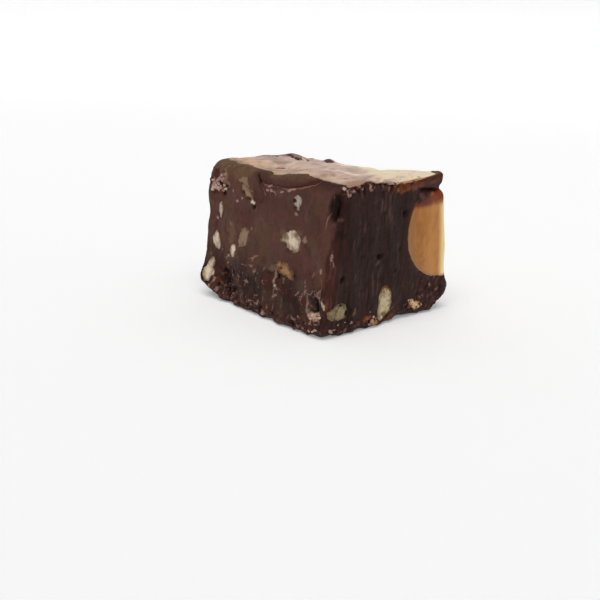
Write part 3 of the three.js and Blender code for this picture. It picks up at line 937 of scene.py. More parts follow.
@dataclass(frozen=True)
class Nut:
    """One chopped pecan: the node that it stands for, its cut and its looks.

    A knob is (direction in degrees, half width in degrees, share of the rim that it adds).
    """

    node: str
    cut: Cut
    meat: Meat
    seed: int
    rubble: float = 0
    skin_side: float | None = None
    knobs: tuple[Numbers, ...] = ()
    proud: float = 0.05
    rough: float = 0.12
    uneven: float = 0.28
    full: float = 0.99
    fullest: float = 1.04
    turned_in: float = 0.95
    rim_depth: float = 0.5
    bowl_depth: float = 0.6
    bottom_depth: float = 0.66
    around: int = 72
    lid_rings: int = 24
    bowl_rings: int = 7
    facings: int = 72
    grazing: float = 0.05
    near_cut: float = 3.4
    elsewhere: float = 9.0

    def outline(self) -> tuple[Array, float]:
        """The middle of the node on its cut, and the node's depth behind the cut."""
        low, high = (np.array(corner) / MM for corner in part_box(self.node))
        axis = self.cut.value[0]
        middle = (low + high) / 2
        return middle[[1 - axis, 2]], (high - low)[axis]

    def reach(self, turns: Array) -> Array:
        """How far the node reaches on its cut in each direction from its middle.

        The node is convex, so its rim is where the nearest of its flat limits stops a line: the
        least of limit / cos(turn - facing) over the facings that look that way.
        """
        axis = self.cut.value[0]
        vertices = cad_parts[self.node].data.vertices
        points = np.array([vertex.co for vertex in vertices]) / MM
        flat = points[:, [1 - axis, 2]] - self.outline()[0]
        facing = np.linspace(0, 2 * np.pi, self.facings, endpoint=False)
        limit = np.max(flat @ np.stack([np.cos(facing), np.sin(facing)]), axis=0)
        toward = np.cos(turns[:, None] - facing)
        stop = np.where(toward > self.grazing, limit / np.maximum(toward, self.grazing), np.inf)
        return stop.min(axis=1)

    def rim(self, turns: Array) -> Array:
        """The node's reach with an uneven edge: noise round it, and its bites and knobs."""
        ring = np.stack([np.cos(turns), np.sin(turns), np.full_like(turns, self.seed)], axis=-1)
        share = self.full + self.uneven * Grain(self.seed).layers(ring, 0.7, 3)
        for toward, width, amount in self.knobs:
            off = np.degrees(np.arccos(np.cos(turns - math.radians(toward))))
            share = share + amount * band(off, 0, width)
        return self.reach(turns) * np.minimum(share, self.fullest)

    def span(self, points: Array) -> Array:
        """Distance of surface points from the nut's middle as a share of its rim, large elsewhere."""
        axis, sign = self.cut.value
        middle, _ = self.outline()
        flat = points[..., [1 - axis, 2]] - middle
        turns = np.arctan2(flat[..., 1], flat[..., 0])
        every_degree = np.radians(np.arange(-180, 181))
        rim = np.interp(turns, every_degree, self.rim(every_degree))
        on_face = points[..., axis] * sign > (SQUARE.width, SQUARE.depth)[axis] / 2 - self.near_cut
        return np.where(on_face, np.hypot(flat[..., 0], flat[..., 1]) / rim, self.elsewhere)

    def spread(self) -> tuple[Array, Array]:
        """How far out each ring is as a share of the rim, and how far behind the cut, up to 1."""
        lid = np.linspace(0, 1, self.lid_rings + 1)[1:, None] ** 0.8
        bowl = np.cos(np.linspace(0, np.pi / 2, self.bowl_rings + 1))[1:-1, None]
        return np.concatenate([lid, bowl]), np.concatenate([0 * lid, np.sqrt(1 - bowl**2)])

    def dressing(self, points: Array, spread: Array, turns: Array, crumb: Array) -> dict[str, Array]:
        """How much chocolate, core, crack shade and brown skin shows at each point. The core is a painted
        highlight, lighter towards the middle of the lid, and the cracks of any rubble are painted dark as
        shade.

        Chocolate lies over the outer part of the lid where the share of the way out and two
        noises together are high, so that it creeps in from the rim in tongues.
        """
        creep = 0.35 * Grain(self.seed + 80).layers(points, 2.4, 2)
        creep = creep + 0.3 * Grain(self.seed + 90).layers(points, 0.9, 2, (1, 1, 1.8))
        brown = np.zeros_like(creep)
        if self.skin_side is not None:
            side = np.cos(turns - math.radians(self.skin_side))
            brown = ramp(side + 1.6 * spread + 0.8 * creep, 2.15, 2.4)
        return {
            "chocolate": ramp(spread + self.meat.smeared + creep, 1.06, 1.46),
            # The core paints a highlight in the middle of the lid and shade towards its rim
            "core": np.clip(1.1 - spread + 0.8 * creep, 0, 1),
            "crack_shade": np.clip(2.2 * self.rubble * ramp(crumb, 0.62, 0.32), 0, 1),
            "skin": brown,
        }

    def build(self) -> bpy.types.Object:
        """Makes the lid on the cut, its rim turned in, and the bowl of meat behind it.

        The lid's rings run from its middle to its rim on the square's surface, raised by proud, a
        fibrous noise and any rubble. The bowl's rings close behind it as part of a ball.
        """
        turns = np.linspace(0, 2 * np.pi, self.around, endpoint=False)
        rim = self.rim(turns)
        middle, deep = self.outline()
        spread, behind = self.spread()
        along = middle[0] + spread * rim * np.cos(turns)
        height = np.clip(middle[1] + spread * rim * np.sin(turns), SQUARE.seat, None)
        points, out = SQUARE.on_cut(self.cut, along, height)
        fibre = Grain(self.seed + 40).layers(points, 1.3, 3, (1, 1, 1.5))
        crumb = Grain(self.seed + 60).crumb(points, 1.3) + 0.4 * Grain(self.seed + 61).crumb(points, 0.6)
        coat = Coat(points, out)
        coat.mark()
        coat.smear = np.full_like(coat.smear, self.cut in SMEARED_CUTS)
        relief = self.rough * fibre + self.rubble * (crumb - CRUMB_LEVEL) + coat.height
        edge = np.where(behind > 0, 1, ramp(spread, self.turned_in, 1))
        lift = self.proud + relief * (1 - edge) - self.rim_depth * edge - self.bowl_depth * deep * behind
        rings = points + out * lift[..., None]
        centre, facing = SQUARE.on_cut(self.cut, middle[:1], middle[1:])
        bottom = centre[0] - facing[0] * deep * self.bottom_depth
        tints = coat.named_tints() | self.dressing(points, spread, turns, crumb)
        return Shell(rings, end=bottom).piece(f"{self.node}_meat", tints)


NUTS = (
    Nut("pecan_left_top", Cut.LEFT, Meat.PINK, 1, rubble=0.5),
    Nut("pecan_left_upper_sliver", Cut.LEFT, Meat.PALE, 2),
    Nut("pecan_left_long", Cut.LEFT, Meat.CREAM, 3),
    Nut("pecan_left_corner", Cut.LEFT, Meat.CREAM, 4, knobs=((50, 25, -0.15), (130, 25, -0.15))),
    Nut("pecan_left_small", Cut.LEFT, Meat.CREAM, 5),
    Nut("pecan_left_streak", Cut.LEFT, Meat.SMEARED, 6),
    Nut("pecan_left_smear", Cut.LEFT, Meat.SMEARED, 7),
    Nut("pecan_left_sliver", Cut.LEFT, Meat.PALE, 8),
    Nut(
        "pecan_left_centre",
        Cut.LEFT,
        Meat.CREAM,
        9,
        knobs=((330, 18, -0.3), (45, 25, -0.25), (215, 18, -0.2)),
    ),
    Nut("pecan_left_amber", Cut.LEFT, Meat.AMBER, 10, rubble=0.35),
    Nut("pecan_left_foot", Cut.LEFT, Meat.PINK, 11, rubble=0.7),
    Nut("pecan_front_tall", Cut.FRONT, Meat.OLIVE, 12, rubble=0.2, skin_side=75, uneven=0.1),
    Nut("pecan_front_wide", Cut.FRONT, Meat.DULL, 13, rubble=0.4),
    Nut("pecan_front_foot", Cut.FRONT, Meat.TAN, 14, rubble=0.15, uneven=0.15),
    Nut(
        "pecan_right_upper",
        Cut.RIGHT,
        Meat.OLIVE,
        15,
        skin_side=200,
        knobs=((60, 20, -0.25), (150, 20, -0.2)),
    ),
    Nut("pecan_right_middle", Cut.RIGHT, Meat.DULL, 16, skin_side=20, knobs=((300, 20, -0.25),)),
    Nut("pecan_right_low", Cut.RIGHT, Meat.TAN, 17, skin_side=120),
    Nut("pecan_right_far", Cut.RIGHT, Meat.CREAM, 18),
    Nut("pecan_back_centre", Cut.BACK, Meat.CREAM, 19, knobs=((100, 20, -0.25), (250, 20, -0.25))),
    Nut("pecan_back_upper", Cut.BACK, Meat.PALE, 20),
    Nut("pecan_back_high", Cut.BACK, Meat.SMEARED, 21),
    Nut("pecan_back_low", Cut.BACK, Meat.TAN, 22, rubble=0.3),
    Nut("pecan_back_foot", Cut.BACK, Meat.CREAM, 23),
    Nut("pecan_back_edge", Cut.BACK, Meat.SMEARED, 24),
)

# Marks seen on the shown cuts: along the cut, height, half length, half width, turn, tint,
# strength, and how far it stands out
LEFT_MARKS = (
    # The crumbled nut at the far top corner
    # Its pink and cream spots are pale crumbs and also painted highlights; its pits are painted shade
    (17.8, 28.2, 2.0, 1.1, 70, Tint.RED, 1.0, -0.2),
    (19.6, 27.0, 2.2, 1.0, 80, Tint.RED, 1.0, -0.1),
    (17.0, 26.8, 1.9, 0.5, -41, Tint.PINK, 1.0, 0.15),
    (18.7, 24.8, 0.7, 0.7, 0, Tint.CREAM, 1.0, 0.25),
    (15.0, 26.2, 1.5, 0.7, 8, Tint.PIT_SHADE, 1.0, -0.6),
    (14.3, 25.3, 0.6, 0.45, 0, Tint.CREAM, 1.0, 0.2),
    (15.2, 24.4, 0.5, 0.7, 0, Tint.PIT_SHADE, 1.0, -0.5),
    (17.4, 24.2, 1.1, 0.6, 0, Tint.RED, 1.0, -0.2),
    (14.6, 28.6, 2.6, 1.0, 75, Tint.VEIL, 0.65, 0.1),
    (13.7, 26.6, 1.6, 0.8, 75, Tint.VEIL, 0.65, 0.1),
    (12.1, 25.2, 0.5, 0.5, 0, Tint.PINK, 0.7, 0.1),
    # Beside the pale slivers and the streak
    (17.2, 18.4, 0.6, 0.5, 0, Tint.PINK, 0.9, 0.1),
    (16.7, 19.4, 0.5, 0.5, 0, Tint.PIT_SHADE, 0.6, -0.2),
    (17.4, 17.0, 1.3, 0.8, 90, Tint.RED, 0.9, 0.0),
    (11.6, 15.6, 3.6, 1.3, 88, Tint.OLIVE, 0.8, 0.0),
    (11.7, 18.3, 1.3, 0.4, 88, Tint.PINK, 0.5, 0.0),
    (5.8, 16.9, 2.1, 0.5, -55, Tint.VEIL, 0.95, 0.05),
    (8.4, 15.0, 2.0, 0.9, -75, Tint.VEIL, 0.85, 0.05),
    (6.3, 14.6, 1.5, 0.3, -82, Tint.PINK, 0.6, 0.0),
    (12.3, 10.7, 1.2, 0.6, -50, Tint.PINK, 0.75, 0.05),
    # Round the slanting smear
    (8.8, 28.1, 2.4, 1.2, 20, Tint.VEIL, 0.7, 0.0),
    (7.2, 26.6, 2.4, 1.1, 35, Tint.VEIL, 0.65, 0.1),
    (8.0, 25.5, 0.8, 0.5, 20, Tint.PIT_SHADE, 0.8, -0.3),
    (6.5, 24.5, 1.1, 0.4, 22, Tint.PIT_SHADE, 0.85, -0.3),
    (8.4, 24.2, 0.75, 0.55, 0, Tint.PINK, 1.0, 0.2),
    (10.3, 23.2, 0.6, 0.5, 0, Tint.PINK, 0.75, 0.1),
    (5.1, 23.8, 0.8, 0.55, 0, Tint.CREAM, 0.9, 0.2),
    (5.0, 22.8, 0.6, 0.55, 0, Tint.PIT_SHADE, 1.0, -0.7),
    (5.1, 21.9, 0.6, 0.5, 0, Tint.PINK, 0.4, 0.0),
    (4.0, 29.0, 1.1, 0.4, 45, Tint.PIT_SHADE, 1.0, -0.4),
    (2.6, 28.0, 0.9, 0.4, 60, Tint.RED, 1.0, -0.2),
    (2.9, 27.0, 2.2, 0.35, 55, Tint.RED, 0.9, -0.1),
    (2.2, 26.5, 1.8, 0.25, 58, Tint.PINK, 0.6, 0.0),
    (2.4, 24.6, 0.6, 0.8, 30, Tint.RED, 0.9, 0.0),
    # Under the pressed edge
    (1.2, 27.0, 0.8, 0.4, 0, Tint.PINK, 0.8, 0.1),
    (-0.1, 27.2, 0.5, 0.4, 0, Tint.PINK, 0.8, 0.1),
    (-1.3, 26.9, 1.3, 0.3, 15, Tint.PINK, 0.7, 0.05),
    (-3.7, 27.3, 2.2, 0.34, -22, Tint.PINK, 0.9, 0.08),
    (-6.6, 28.2, 2.0, 0.3, -20, Tint.PINK, 0.85, 0.08),
    (0.6, 27.9, 1.4, 0.3, -25, Tint.PINK, 0.8, 0.05),
    (-1.2, 27.9, 1.0, 0.35, 0, Tint.PIT_SHADE, 0.6, -0.2),
    (-3.2, 28.2, 1.0, 0.3, -10, Tint.PIT_SHADE, 0.5, -0.2),
    (-1.6, 20.1, 1.1, 0.7, 20, Tint.LINE, 0.9, 0.05),
    (-1.7, 20.0, 0.5, 0.3, 20, Tint.PIT_SHADE, 0.5, -0.1),
    # The broken hollow at the far foot
    (17.0, 2.4, 1.6, 0.9, 75, Tint.VEIL, 1.0, 0.2),
    (15.6, 4.4, 0.9, 0.6, 80, Tint.PINK, 0.8, 0.2),
    (14.7, 4.5, 1.0, 0.5, 85, Tint.ORANGE, 0.22, 0.0),
    (14.2, 4.6, 1.5, 0.9, 85, Tint.RED, 1.0, -0.2),
    (14.5, 3.7, 0.5, 0.5, 0, Tint.PIT_SHADE, 1.0, -0.4),
    (12.2, 5.2, 2.8, 2.4, 60, Tint.RED, 1.0, -0.3),
    (12.0, 5.2, 2.4, 2.1, 60, Tint.PIT_SHADE, 0.95, -0.4),
    (10.2, 3.4, 2.2, 1.2, -10, Tint.PIT_SHADE, 0.85, -0.2),
    (9.8, 7.9, 1.6, 0.6, 55, Tint.PIT_SHADE, 0.8, -0.3),
    (11.4, 6.0, 0.7, 0.5, 30, Tint.LINE, 1.0, 0.4),
    (12.6, 4.2, 0.6, 0.4, 0, Tint.RED, 1.0, 0.4),
    (9.2, 4.6, 0.8, 0.5, 0, Tint.LINE, 0.8, 0.3),
    # Brown shreds beside the amber bit
    (-3.4, 11.5, 1.5, 0.7, -10, Tint.OLIVE, 0.9, 0.1),
    (-4.6, 12.5, 0.7, 0.4, -30, Tint.TAN, 0.55, 0.1),
    (-3.0, 10.3, 1.6, 0.4, 0, Tint.PIT_SHADE, 0.5, -0.2),
    # Chocolate smeared over the middle nut
    (-5.9, 19.0, 1.7, 1.0, 30, Tint.OLIVE, 0.75, 0.0),
    (-10.4, 19.7, 1.7, 0.9, -35, Tint.OLIVE, 0.65, 0.0),
    (-5.0, 16.4, 1.3, 0.6, 30, Tint.LINE, 0.8, 0.0),
    (-9.6, 16.4, 1.3, 0.5, -20, Tint.VEIL, 0.7, 0.0),
    # Over the lower face
    (2.4, 12.6, 2.0, 0.35, -25, Tint.PINK, 0.6, 0.05),
    (3.9, 11.8, 1.2, 0.35, 10, Tint.PINK, 0.55, 0.05),
    (4.9, 6.7, 0.8, 0.5, 20, Tint.PINK, 0.6, 0.0),
    (-1.2, 10.8, 1.4, 0.35, 70, Tint.PINK, 0.4, 0.0),
    (-8.0, 26.4, 0.5, 0.5, 0, Tint.PIT_SHADE, 0.9, -0.3),
    (-8.2, 25.0, 0.5, 0.6, 0, Tint.PIT_SHADE, 0.8, -0.3),
    (-8.6, 23.7, 0.8, 0.4, 20, Tint.PINK, 0.7, 0.05),
    (-12.6, 19.4, 0.9, 1.1, 0, Tint.VEIL, 0.75, 0.0),
    (-5.0, 17.6, 0.9, 0.5, 25, Tint.VEIL, 0.8, 0.0),
    (-7.8, 15.9, 1.0, 0.4, 0, Tint.PIT_SHADE, 0.5, -0.1),
    (-5.7, 10.2, 0.7, 0.55, 0, Tint.PIT_SHADE, 0.95, -0.4),
    (-4.7, 9.6, 2.1, 0.5, 95, Tint.VEIL, 0.9, 0.1),
    (-5.2, 8.1, 0.8, 0.5, 0, Tint.CREAM, 0.8, 0.1),
    (-7.3, 10.0, 1.2, 0.5, 95, Tint.VEIL, 0.7, 0.0),
    (-10.6, 11.2, 1.0, 0.3, 0, Tint.PIT_SHADE, 0.7, -0.2),
    (-11.4, 16.8, 1.5, 0.35, 100, Tint.PINK, 0.4, 0.0),
    (-16.0, 12.5, 1.5, 0.35, 100, Tint.PINK, 0.5, 0.05),
    (-18.0, 13.9, 1.0, 0.5, 95, Tint.PINK, 0.7, 0.1),
    (-9.6, 8.4, 1.2, 0.3, 150, Tint.PINK, 0.6, 0.1),
    (-12.0, 8.0, 1.1, 0.3, 130, Tint.PINK, 0.6, 0.1),
    (-14.3, 8.4, 1.6, 0.35, 112, Tint.PINK, 0.65, 0.1),
    (-16.4, 9.2, 1.6, 0.35, 122, Tint.PINK, 0.6, 0.1),
    (-5.2, 5.9, 1.7, 0.35, -30, Tint.PINK, 0.6, 0.1),
    (-18.0, 6.9, 1.8, 0.7, 75, Tint.PIT_SHADE, 1.0, -0.5),
    (-17.3, 5.7, 1.2, 0.4, -10, Tint.PIT_SHADE, 1.0, -0.3),
    (-19.4, 7.3, 1.3, 0.35, 75, Tint.CREAM, 0.65, 0.3),
    (-20.2, 7.0, 1.0, 0.4, 85, Tint.ORANGE, 0.35, 0.1),
    (-19.9, 16.6, 1.5, 0.25, 90, Tint.PINK, 0.6, 0.15),
    (-20.0, 11.5, 3.4, 0.7, 90, Tint.RED, 1.0, -0.1),
)
FRONT_MARKS = (
    (-13.8, 12.2, 0.6, 0.55, 20, Tint.PIT_SHADE, 1.0, -0.6),
    (4.0, 23.8, 0.65, 0.6, 60, Tint.PIT_SHADE, 1.0, -0.7),
    (-3.0, 15.6, 0.8, 0.65, 0, Tint.PIT_SHADE, 1.0, -0.8),
    (-3.7, 14.2, 0.7, 0.4, 30, Tint.LINE, 1.0, 0.15),
    (1.7, 11.8, 0.55, 0.6, 0, Tint.PIT_SHADE, 1.0, -0.6),
    (2.4, 16.2, 0.6, 0.35, 40, Tint.PIT_SHADE, 0.7, -0.2),
    (-8.4, 16.2, 0.6, 0.35, 0, Tint.PIT_SHADE, 0.6, -0.2),
    (-5.1, 27.3, 1.1, 0.3, 15, Tint.LINE, 1.0, 0.15),
    (-5.0, 26.8, 0.8, 0.3, 0, Tint.PIT_SHADE, 0.5, -0.1),
    (-13.2, 29.6, 0.5, 0.9, 0, Tint.PINK, 0.9, 0.1),
    (-14.0, 30.7, 0.5, 0.8, 0, Tint.CREAM, 0.7, 0.1),
    (-1.6, 30.6, 0.6, 0.7, 0, Tint.PIT_SHADE, 1.0, -0.5),
    (-1.2, 29.1, 0.5, 0.4, 0, Tint.PIT_SHADE, 0.9, -0.4),
    (-9.0, 29.6, 0.4, 0.5, 0, Tint.PIT_SHADE, 0.9, -0.4),
    (6.8, 24.6, 1.5, 0.8, 60, Tint.ORANGE, 0.7, 0.0),
    (8.8, 26.9, 1.6, 0.8, -20, Tint.LINE, 1.0, 0.05),
    (10.4, 26.2, 0.6, 0.45, 0, Tint.PIT_SHADE, 0.9, -0.3),
    (9.6, 25.4, 0.6, 0.3, -40, Tint.PIT_SHADE, 0.8, -0.2),
    (13.4, 26.3, 2.6, 1.1, -8, Tint.ORANGE, 1.0, 0.0),
    (16.2, 27.2, 1.6, 0.7, -6, Tint.ORANGE, 1.0, 0.0),
    # The foot, with crumbs of nut and chocolate
    (-3.6, 1.6, 1.3, 0.9, 60, Tint.TAN, 1.0, 0.2),
    (0.7, 2.9, 1.4, 0.6, 30, Tint.TAN, 0.7, 0.2),
    (1.6, 1.4, 1.4, 0.7, 20, Tint.ORANGE, 0.5, 0.0),
    (-12.4, 5.0, 0.8, 0.5, 30, Tint.PIT_SHADE, 0.6, -0.3),
    (-15.3, 5.6, 0.9, 0.4, 60, Tint.LINE, 0.8, -0.1),
    (-9.9, 5.2, 1.0, 0.4, 60, Tint.OLIVE, 0.9, 0.1),
    (-6.0, 2.6, 1.2, 0.5, 10, Tint.ORANGE, 0.7, 0.15),
    (-5.4, 3.9, 0.7, 0.4, 20, Tint.PINK, 0.8, 0.15),
    (-1.4, 2.0, 0.7, 0.5, 20, Tint.CREAM, 0.8, 0.2),
    (-14.6, 2.8, 0.9, 0.5, 10, Tint.CREAM, 0.75, 0.2),
    (-12.4, 2.9, 0.8, 0.4, -10, Tint.CREAM, 0.7, 0.15),
    (-10.6, 2.7, 0.9, 0.4, 15, Tint.PINK, 0.8, 0.15),
    (-15.8, 1.8, 1.0, 0.5, 10, Tint.PINK, 0.8, 0.2),
    (-8.6, 1.8, 1.0, 0.5, 20, Tint.ORANGE, 0.5, 0.0),
    # The chipped near edge
    (-17.2, 20.0, 0.8, 0.6, 0, Tint.LINE, 0.9, 0.1),
    (-16.4, 15.8, 0.9, 0.25, 92, Tint.PINK, 0.6, 0.15),
    (-17.3, 11.5, 3.2, 0.6, 92, Tint.RED, 1.0, -0.1),
    (-15.6, 9.0, 1.8, 0.6, 92, Tint.RED, 0.8, 0.0),
)


def strewn(seed: int, count: int, tints: tuple[Tint, ...]) -> tuple[tuple, ...]:
    """Marks like the shown ones at random places of a hidden cut, pits sunk and the rest flat."""
    rng = np.random.default_rng(seed)
    rows = []
    for _ in range(count):
        along, height, turn = rng.uniform((-18, 4, 0), (18, 29, 180))
        long, wide = rng.uniform((0.4, 0.3), (1.3, 0.5))
        tint = tints[rng.integers(len(tints))]
        rows.append((along, height, long, wide, turn, tint, 0.7, -0.4 if tint is Tint.PIT_SHADE else 0.05))
    return tuple(rows)


MARKS = {
    Cut.LEFT: LEFT_MARKS,
    Cut.FRONT: FRONT_MARKS,
    Cut.RIGHT: strewn(5, 14, (Tint.PIT_SHADE, Tint.LINE, Tint.LINE, Tint.LINE)),
    Cut.BACK: strewn(6, 34, (Tint.PINK, Tint.VEIL, Tint.VEIL, Tint.RED, Tint.RED, Tint.PIT_SHADE)),
}


class Coat:
    """Fine relief and tints, as they are laid on the square's surface one after another."""

    ragged: Pattern = Pattern(57, 0.9, 3)

    def __init__(self, points: Array, out: Array) -> None:
        """Starts bare.

        Args:
            points: the square's surface.
            out: the outward direction at each point.
        """
        self.points = points
        self.out = out
        self.x, self.y, self.z = np.moveaxis(points, -1, 0)
        self.height = np.zeros_like(self.x)
        self.smear = np.zeros_like(self.x)
        self.tints = {tint: np.zeros_like(self.x) for tint in Tint}

    def facing(self, *cuts: Cut) -> Array:
        """How squarely each point faces one of the cuts, from 0 to 1."""
        values = [cut.value for cut in cuts]
        return sum(np.maximum(sign * self.out[..., axis], 0) ** 2 for axis, sign in values)

    def upright(self) -> Array:
        """How upright the surface is at each point: 1 on the cuts, 0 on the top and the base."""
        return 1 - self.out[..., 2] ** 2

    def noise(self, pattern: Pattern) -> Array:
        """A pattern's noise at the surface."""
        return pattern.at(self.points)

    def share(self, pattern: Pattern) -> Array:
        """A pattern's share at the surface, from 0 to 1."""
        return pattern.share(self.points)

    def lay(self, tint: Tint, share: Array, rise: float = 0) -> None:
        """Tints the share of each point, and raises it by rise times the share."""
        self.tints[tint] = np.maximum(self.tints[tint], np.clip(share, 0, 1))
        self.height = self.height + rise * share

    def mark(self) -> None:
        """Lays every mark of every cut, each with a ragged border."""
        ragged = 0.6 * self.noise(self.ragged)
        for cut, rows in MARKS.items():
            along = self.points[..., 1 - cut.value[0]]
            facing = smooth(3 * self.facing(cut) - 0.3)
            for u, v, long, wide, turn, tint, strength, rise in rows:
                span = Oval(u, v, long, wide, turn).span(along, self.z)
                self.lay(tint, strength * ramp(span - ragged, 1.2, 0.4) * facing, rise)

    def named_tints(self) -> dict[str, Array]:
        """Every value by the name that the finish reads."""
        return {"smear": self.smear} | {tint.name.lower(): share for tint, share in self.tints.items()}


class Feature(ABC):
    """Something that pouring, cutting or handling left on the chocolate."""

    @abstractmethod
    def lay(self, coat: Coat) -> None:
        """Lays its tints and relief on the coat."""


@dataclass(frozen=True)
class KnifeLines(Feature):
    """Upright knife lines, burrs and nicks on the clean cuts, fainter towards the pool."""

    faint: float = 0.35
    line_depth: float = 0.06
    lines: Pattern = Pattern(21, 0.6, 2, (1, 1, 26))
    burrs: Pattern = Pattern(24, 0.42, 1, (1, 1, 9), 0.2, 0.5)
    burr_patches: Pattern = Pattern(25, 3.2, 1, (1, 1, 1.6), -0.1, 0.25)
    nicks: Pattern = Pattern(27, 0.7, 2, (1, 1, 2.5), 0.34, 0.54)

    def lay(self, coat: Coat) -> None:
        """Lays the lines, then burrs in patches, then nicks painted dark as shade."""
        along = coat.x * coat.facing(Cut.FRONT) + coat.y * coat.facing(Cut.RIGHT)
        lined = coat.facing(*CLEAN_CUTS) * (self.faint + (1 - self.faint) * ramp(along, 5, -3))
        coat.height = coat.height + self.line_depth * lined * coat.noise(self.lines)
        coat.lay(Tint.LINE, 0.85 * coat.share(self.burrs) * coat.share(self.burr_patches) * lined, 0.1)
        # Painted shade: the nicks are sunk and darkened
        coat.lay(Tint.PIT_SHADE, 0.45 * coat.share(self.nicks) * lined, -0.1)


@dataclass(frozen=True)
class DraggedFilm(Feature):
    """A waxy film dragged over the smeared cuts, thinner low down, with pale curved wisps. Its fading low
    down also paints the shade near the base.
    """

    wave_height: float = 0.14
    waves: Pattern = Pattern(26, 2.4, 3, (1, 1, 2))
    olive: Pattern = Pattern(48, 3.0, 3, (1, 1, 1), 0.1, 0.5)
    dark: Pattern = Pattern(43, 1.5, 3, (1, 1, 1.6), 0.35, 0.65)
    # Wisps: seed, size of the curves, thinness
    wisps: tuple[tuple[int, float, float], ...] = ((45, 1.7, 0.1), (49, 0.8, 0.16), (64, 1.1, 0.12))
    wisp_stretch: Numbers = (1, 1, 1.7)

    def lay(self, coat: Coat) -> None:
        """Lays the film and its waves, then wisps, olive patches and dark scrapes."""
        dragged = coat.facing(*SMEARED_CUTS)
        patch = coat.noise(PATCHES)
        coat.height = coat.height + self.wave_height * dragged * coat.noise(self.waves)
        # The film fades out low down: thinner there, and a painted shade darkening the cut near the base
        thin_and_shaded_low = 1.1 * ramp(coat.z - 2 * patch, 15, 5)
        coat.smear = dragged * np.clip(0.95 + 0.2 * patch - thin_and_shaded_low, 0, 1)
        low = dragged * (0.2 + 0.8 * ramp(coat.z, 17, 10))
        for seed, step, thin in self.wisps:
            wisp = Grain(seed).wisps(coat.points, step, thin, self.wisp_stretch)
            place = Pattern(seed + 1, 2.6, low=0.02, high=0.32)
            coat.lay(Tint.PINK, 0.58 * wisp * coat.share(place) * low, 0.06)
        coat.lay(Tint.OLIVE, 0.22 * dragged * coat.share(self.olive))
        coat.lay(Tint.RED, 0.75 * coat.share(self.dark) * low, -0.12)


@dataclass(frozen=True)
class PressedEdge(Feature):
    """The top left edge, pressed over: an olive film that ends low in a ragged step, stronger up the
    rounded edge, where it is also a painted highlight of the upward face.

    The step's height above the base is lowest + k (y - lowest_y)^2, with k steeper towards the
    far side.
    """

    lowest: float = 28.6
    lowest_y: float = -1
    steep_near: float = 0.017
    steep_far: float = 0.028
    thick: float = 0.22
    ragged: Pattern = Pattern(52, 1.4)
    film: Pattern = Pattern(58, 1.0)
    worn: Pattern = Pattern(59, 1.6, low=0.1, high=0.4)

    def lay(self, coat: Coat) -> None:
        """Lays the flap over its step, the film further back, the step's shadow and the skin's hem."""
        y, z = coat.y, coat.z
        patch = coat.noise(PATCHES)
        steep = np.where(y < self.lowest_y, self.steep_near, self.steep_far)
        over_step = z - self.lowest - steep * (y - self.lowest_y) ** 2 + 0.3 * coat.noise(self.ragged)
        near_left = ramp(coat.x, -11.5, -13)
        length = ramp(y, 7, 2) * ramp(y, -15, -13) * near_left
        flap = ramp(over_step, 0, 0.25) * length
        coat.height = coat.height + self.thick * flap
        coat.lay(Tint.RED, 0.15 * flap)
        # Painted highlight in part: the olive grows stronger up the rounded edge, where it turns to face up
        coat.lay(Tint.OLIVE, 0.6 * flap * ramp(z + 0.9 * patch, 29.3, 30.9))
        far = ramp(z + 1.6 * patch, 28.0, 29.8) * ramp(y, 2, 6) * near_left
        coat.lay(Tint.OLIVE, far * (0.8 + 0.3 * coat.noise(self.film)))
        coat.lay(Tint.VEIL, 0.45 * far * coat.share(self.worn))
        shadow = band(over_step, -0.3, 0.28) * length * coat.facing(Cut.LEFT)
        coat.lay(Tint.RED, 1.2 * shadow, -0.16)
        coat.lay(Tint.PINK, 0.6 * band(over_step, -0.65, 0.2) * length)
        hem = band(COVER.inside(coat.points), -0.35, 0.6) * (1 - coat.facing(*CLEAN_CUTS))
        coat.lay(Tint.VEIL, 0.4 * hem)
        # As above, the olive is stronger higher up the edge, partly a painted highlight
        back = ramp(z + 1.6 * patch, 28.6, 30.2) * ramp(y, 15, 18)
        coat.lay(Tint.OLIVE, 0.85 * back)


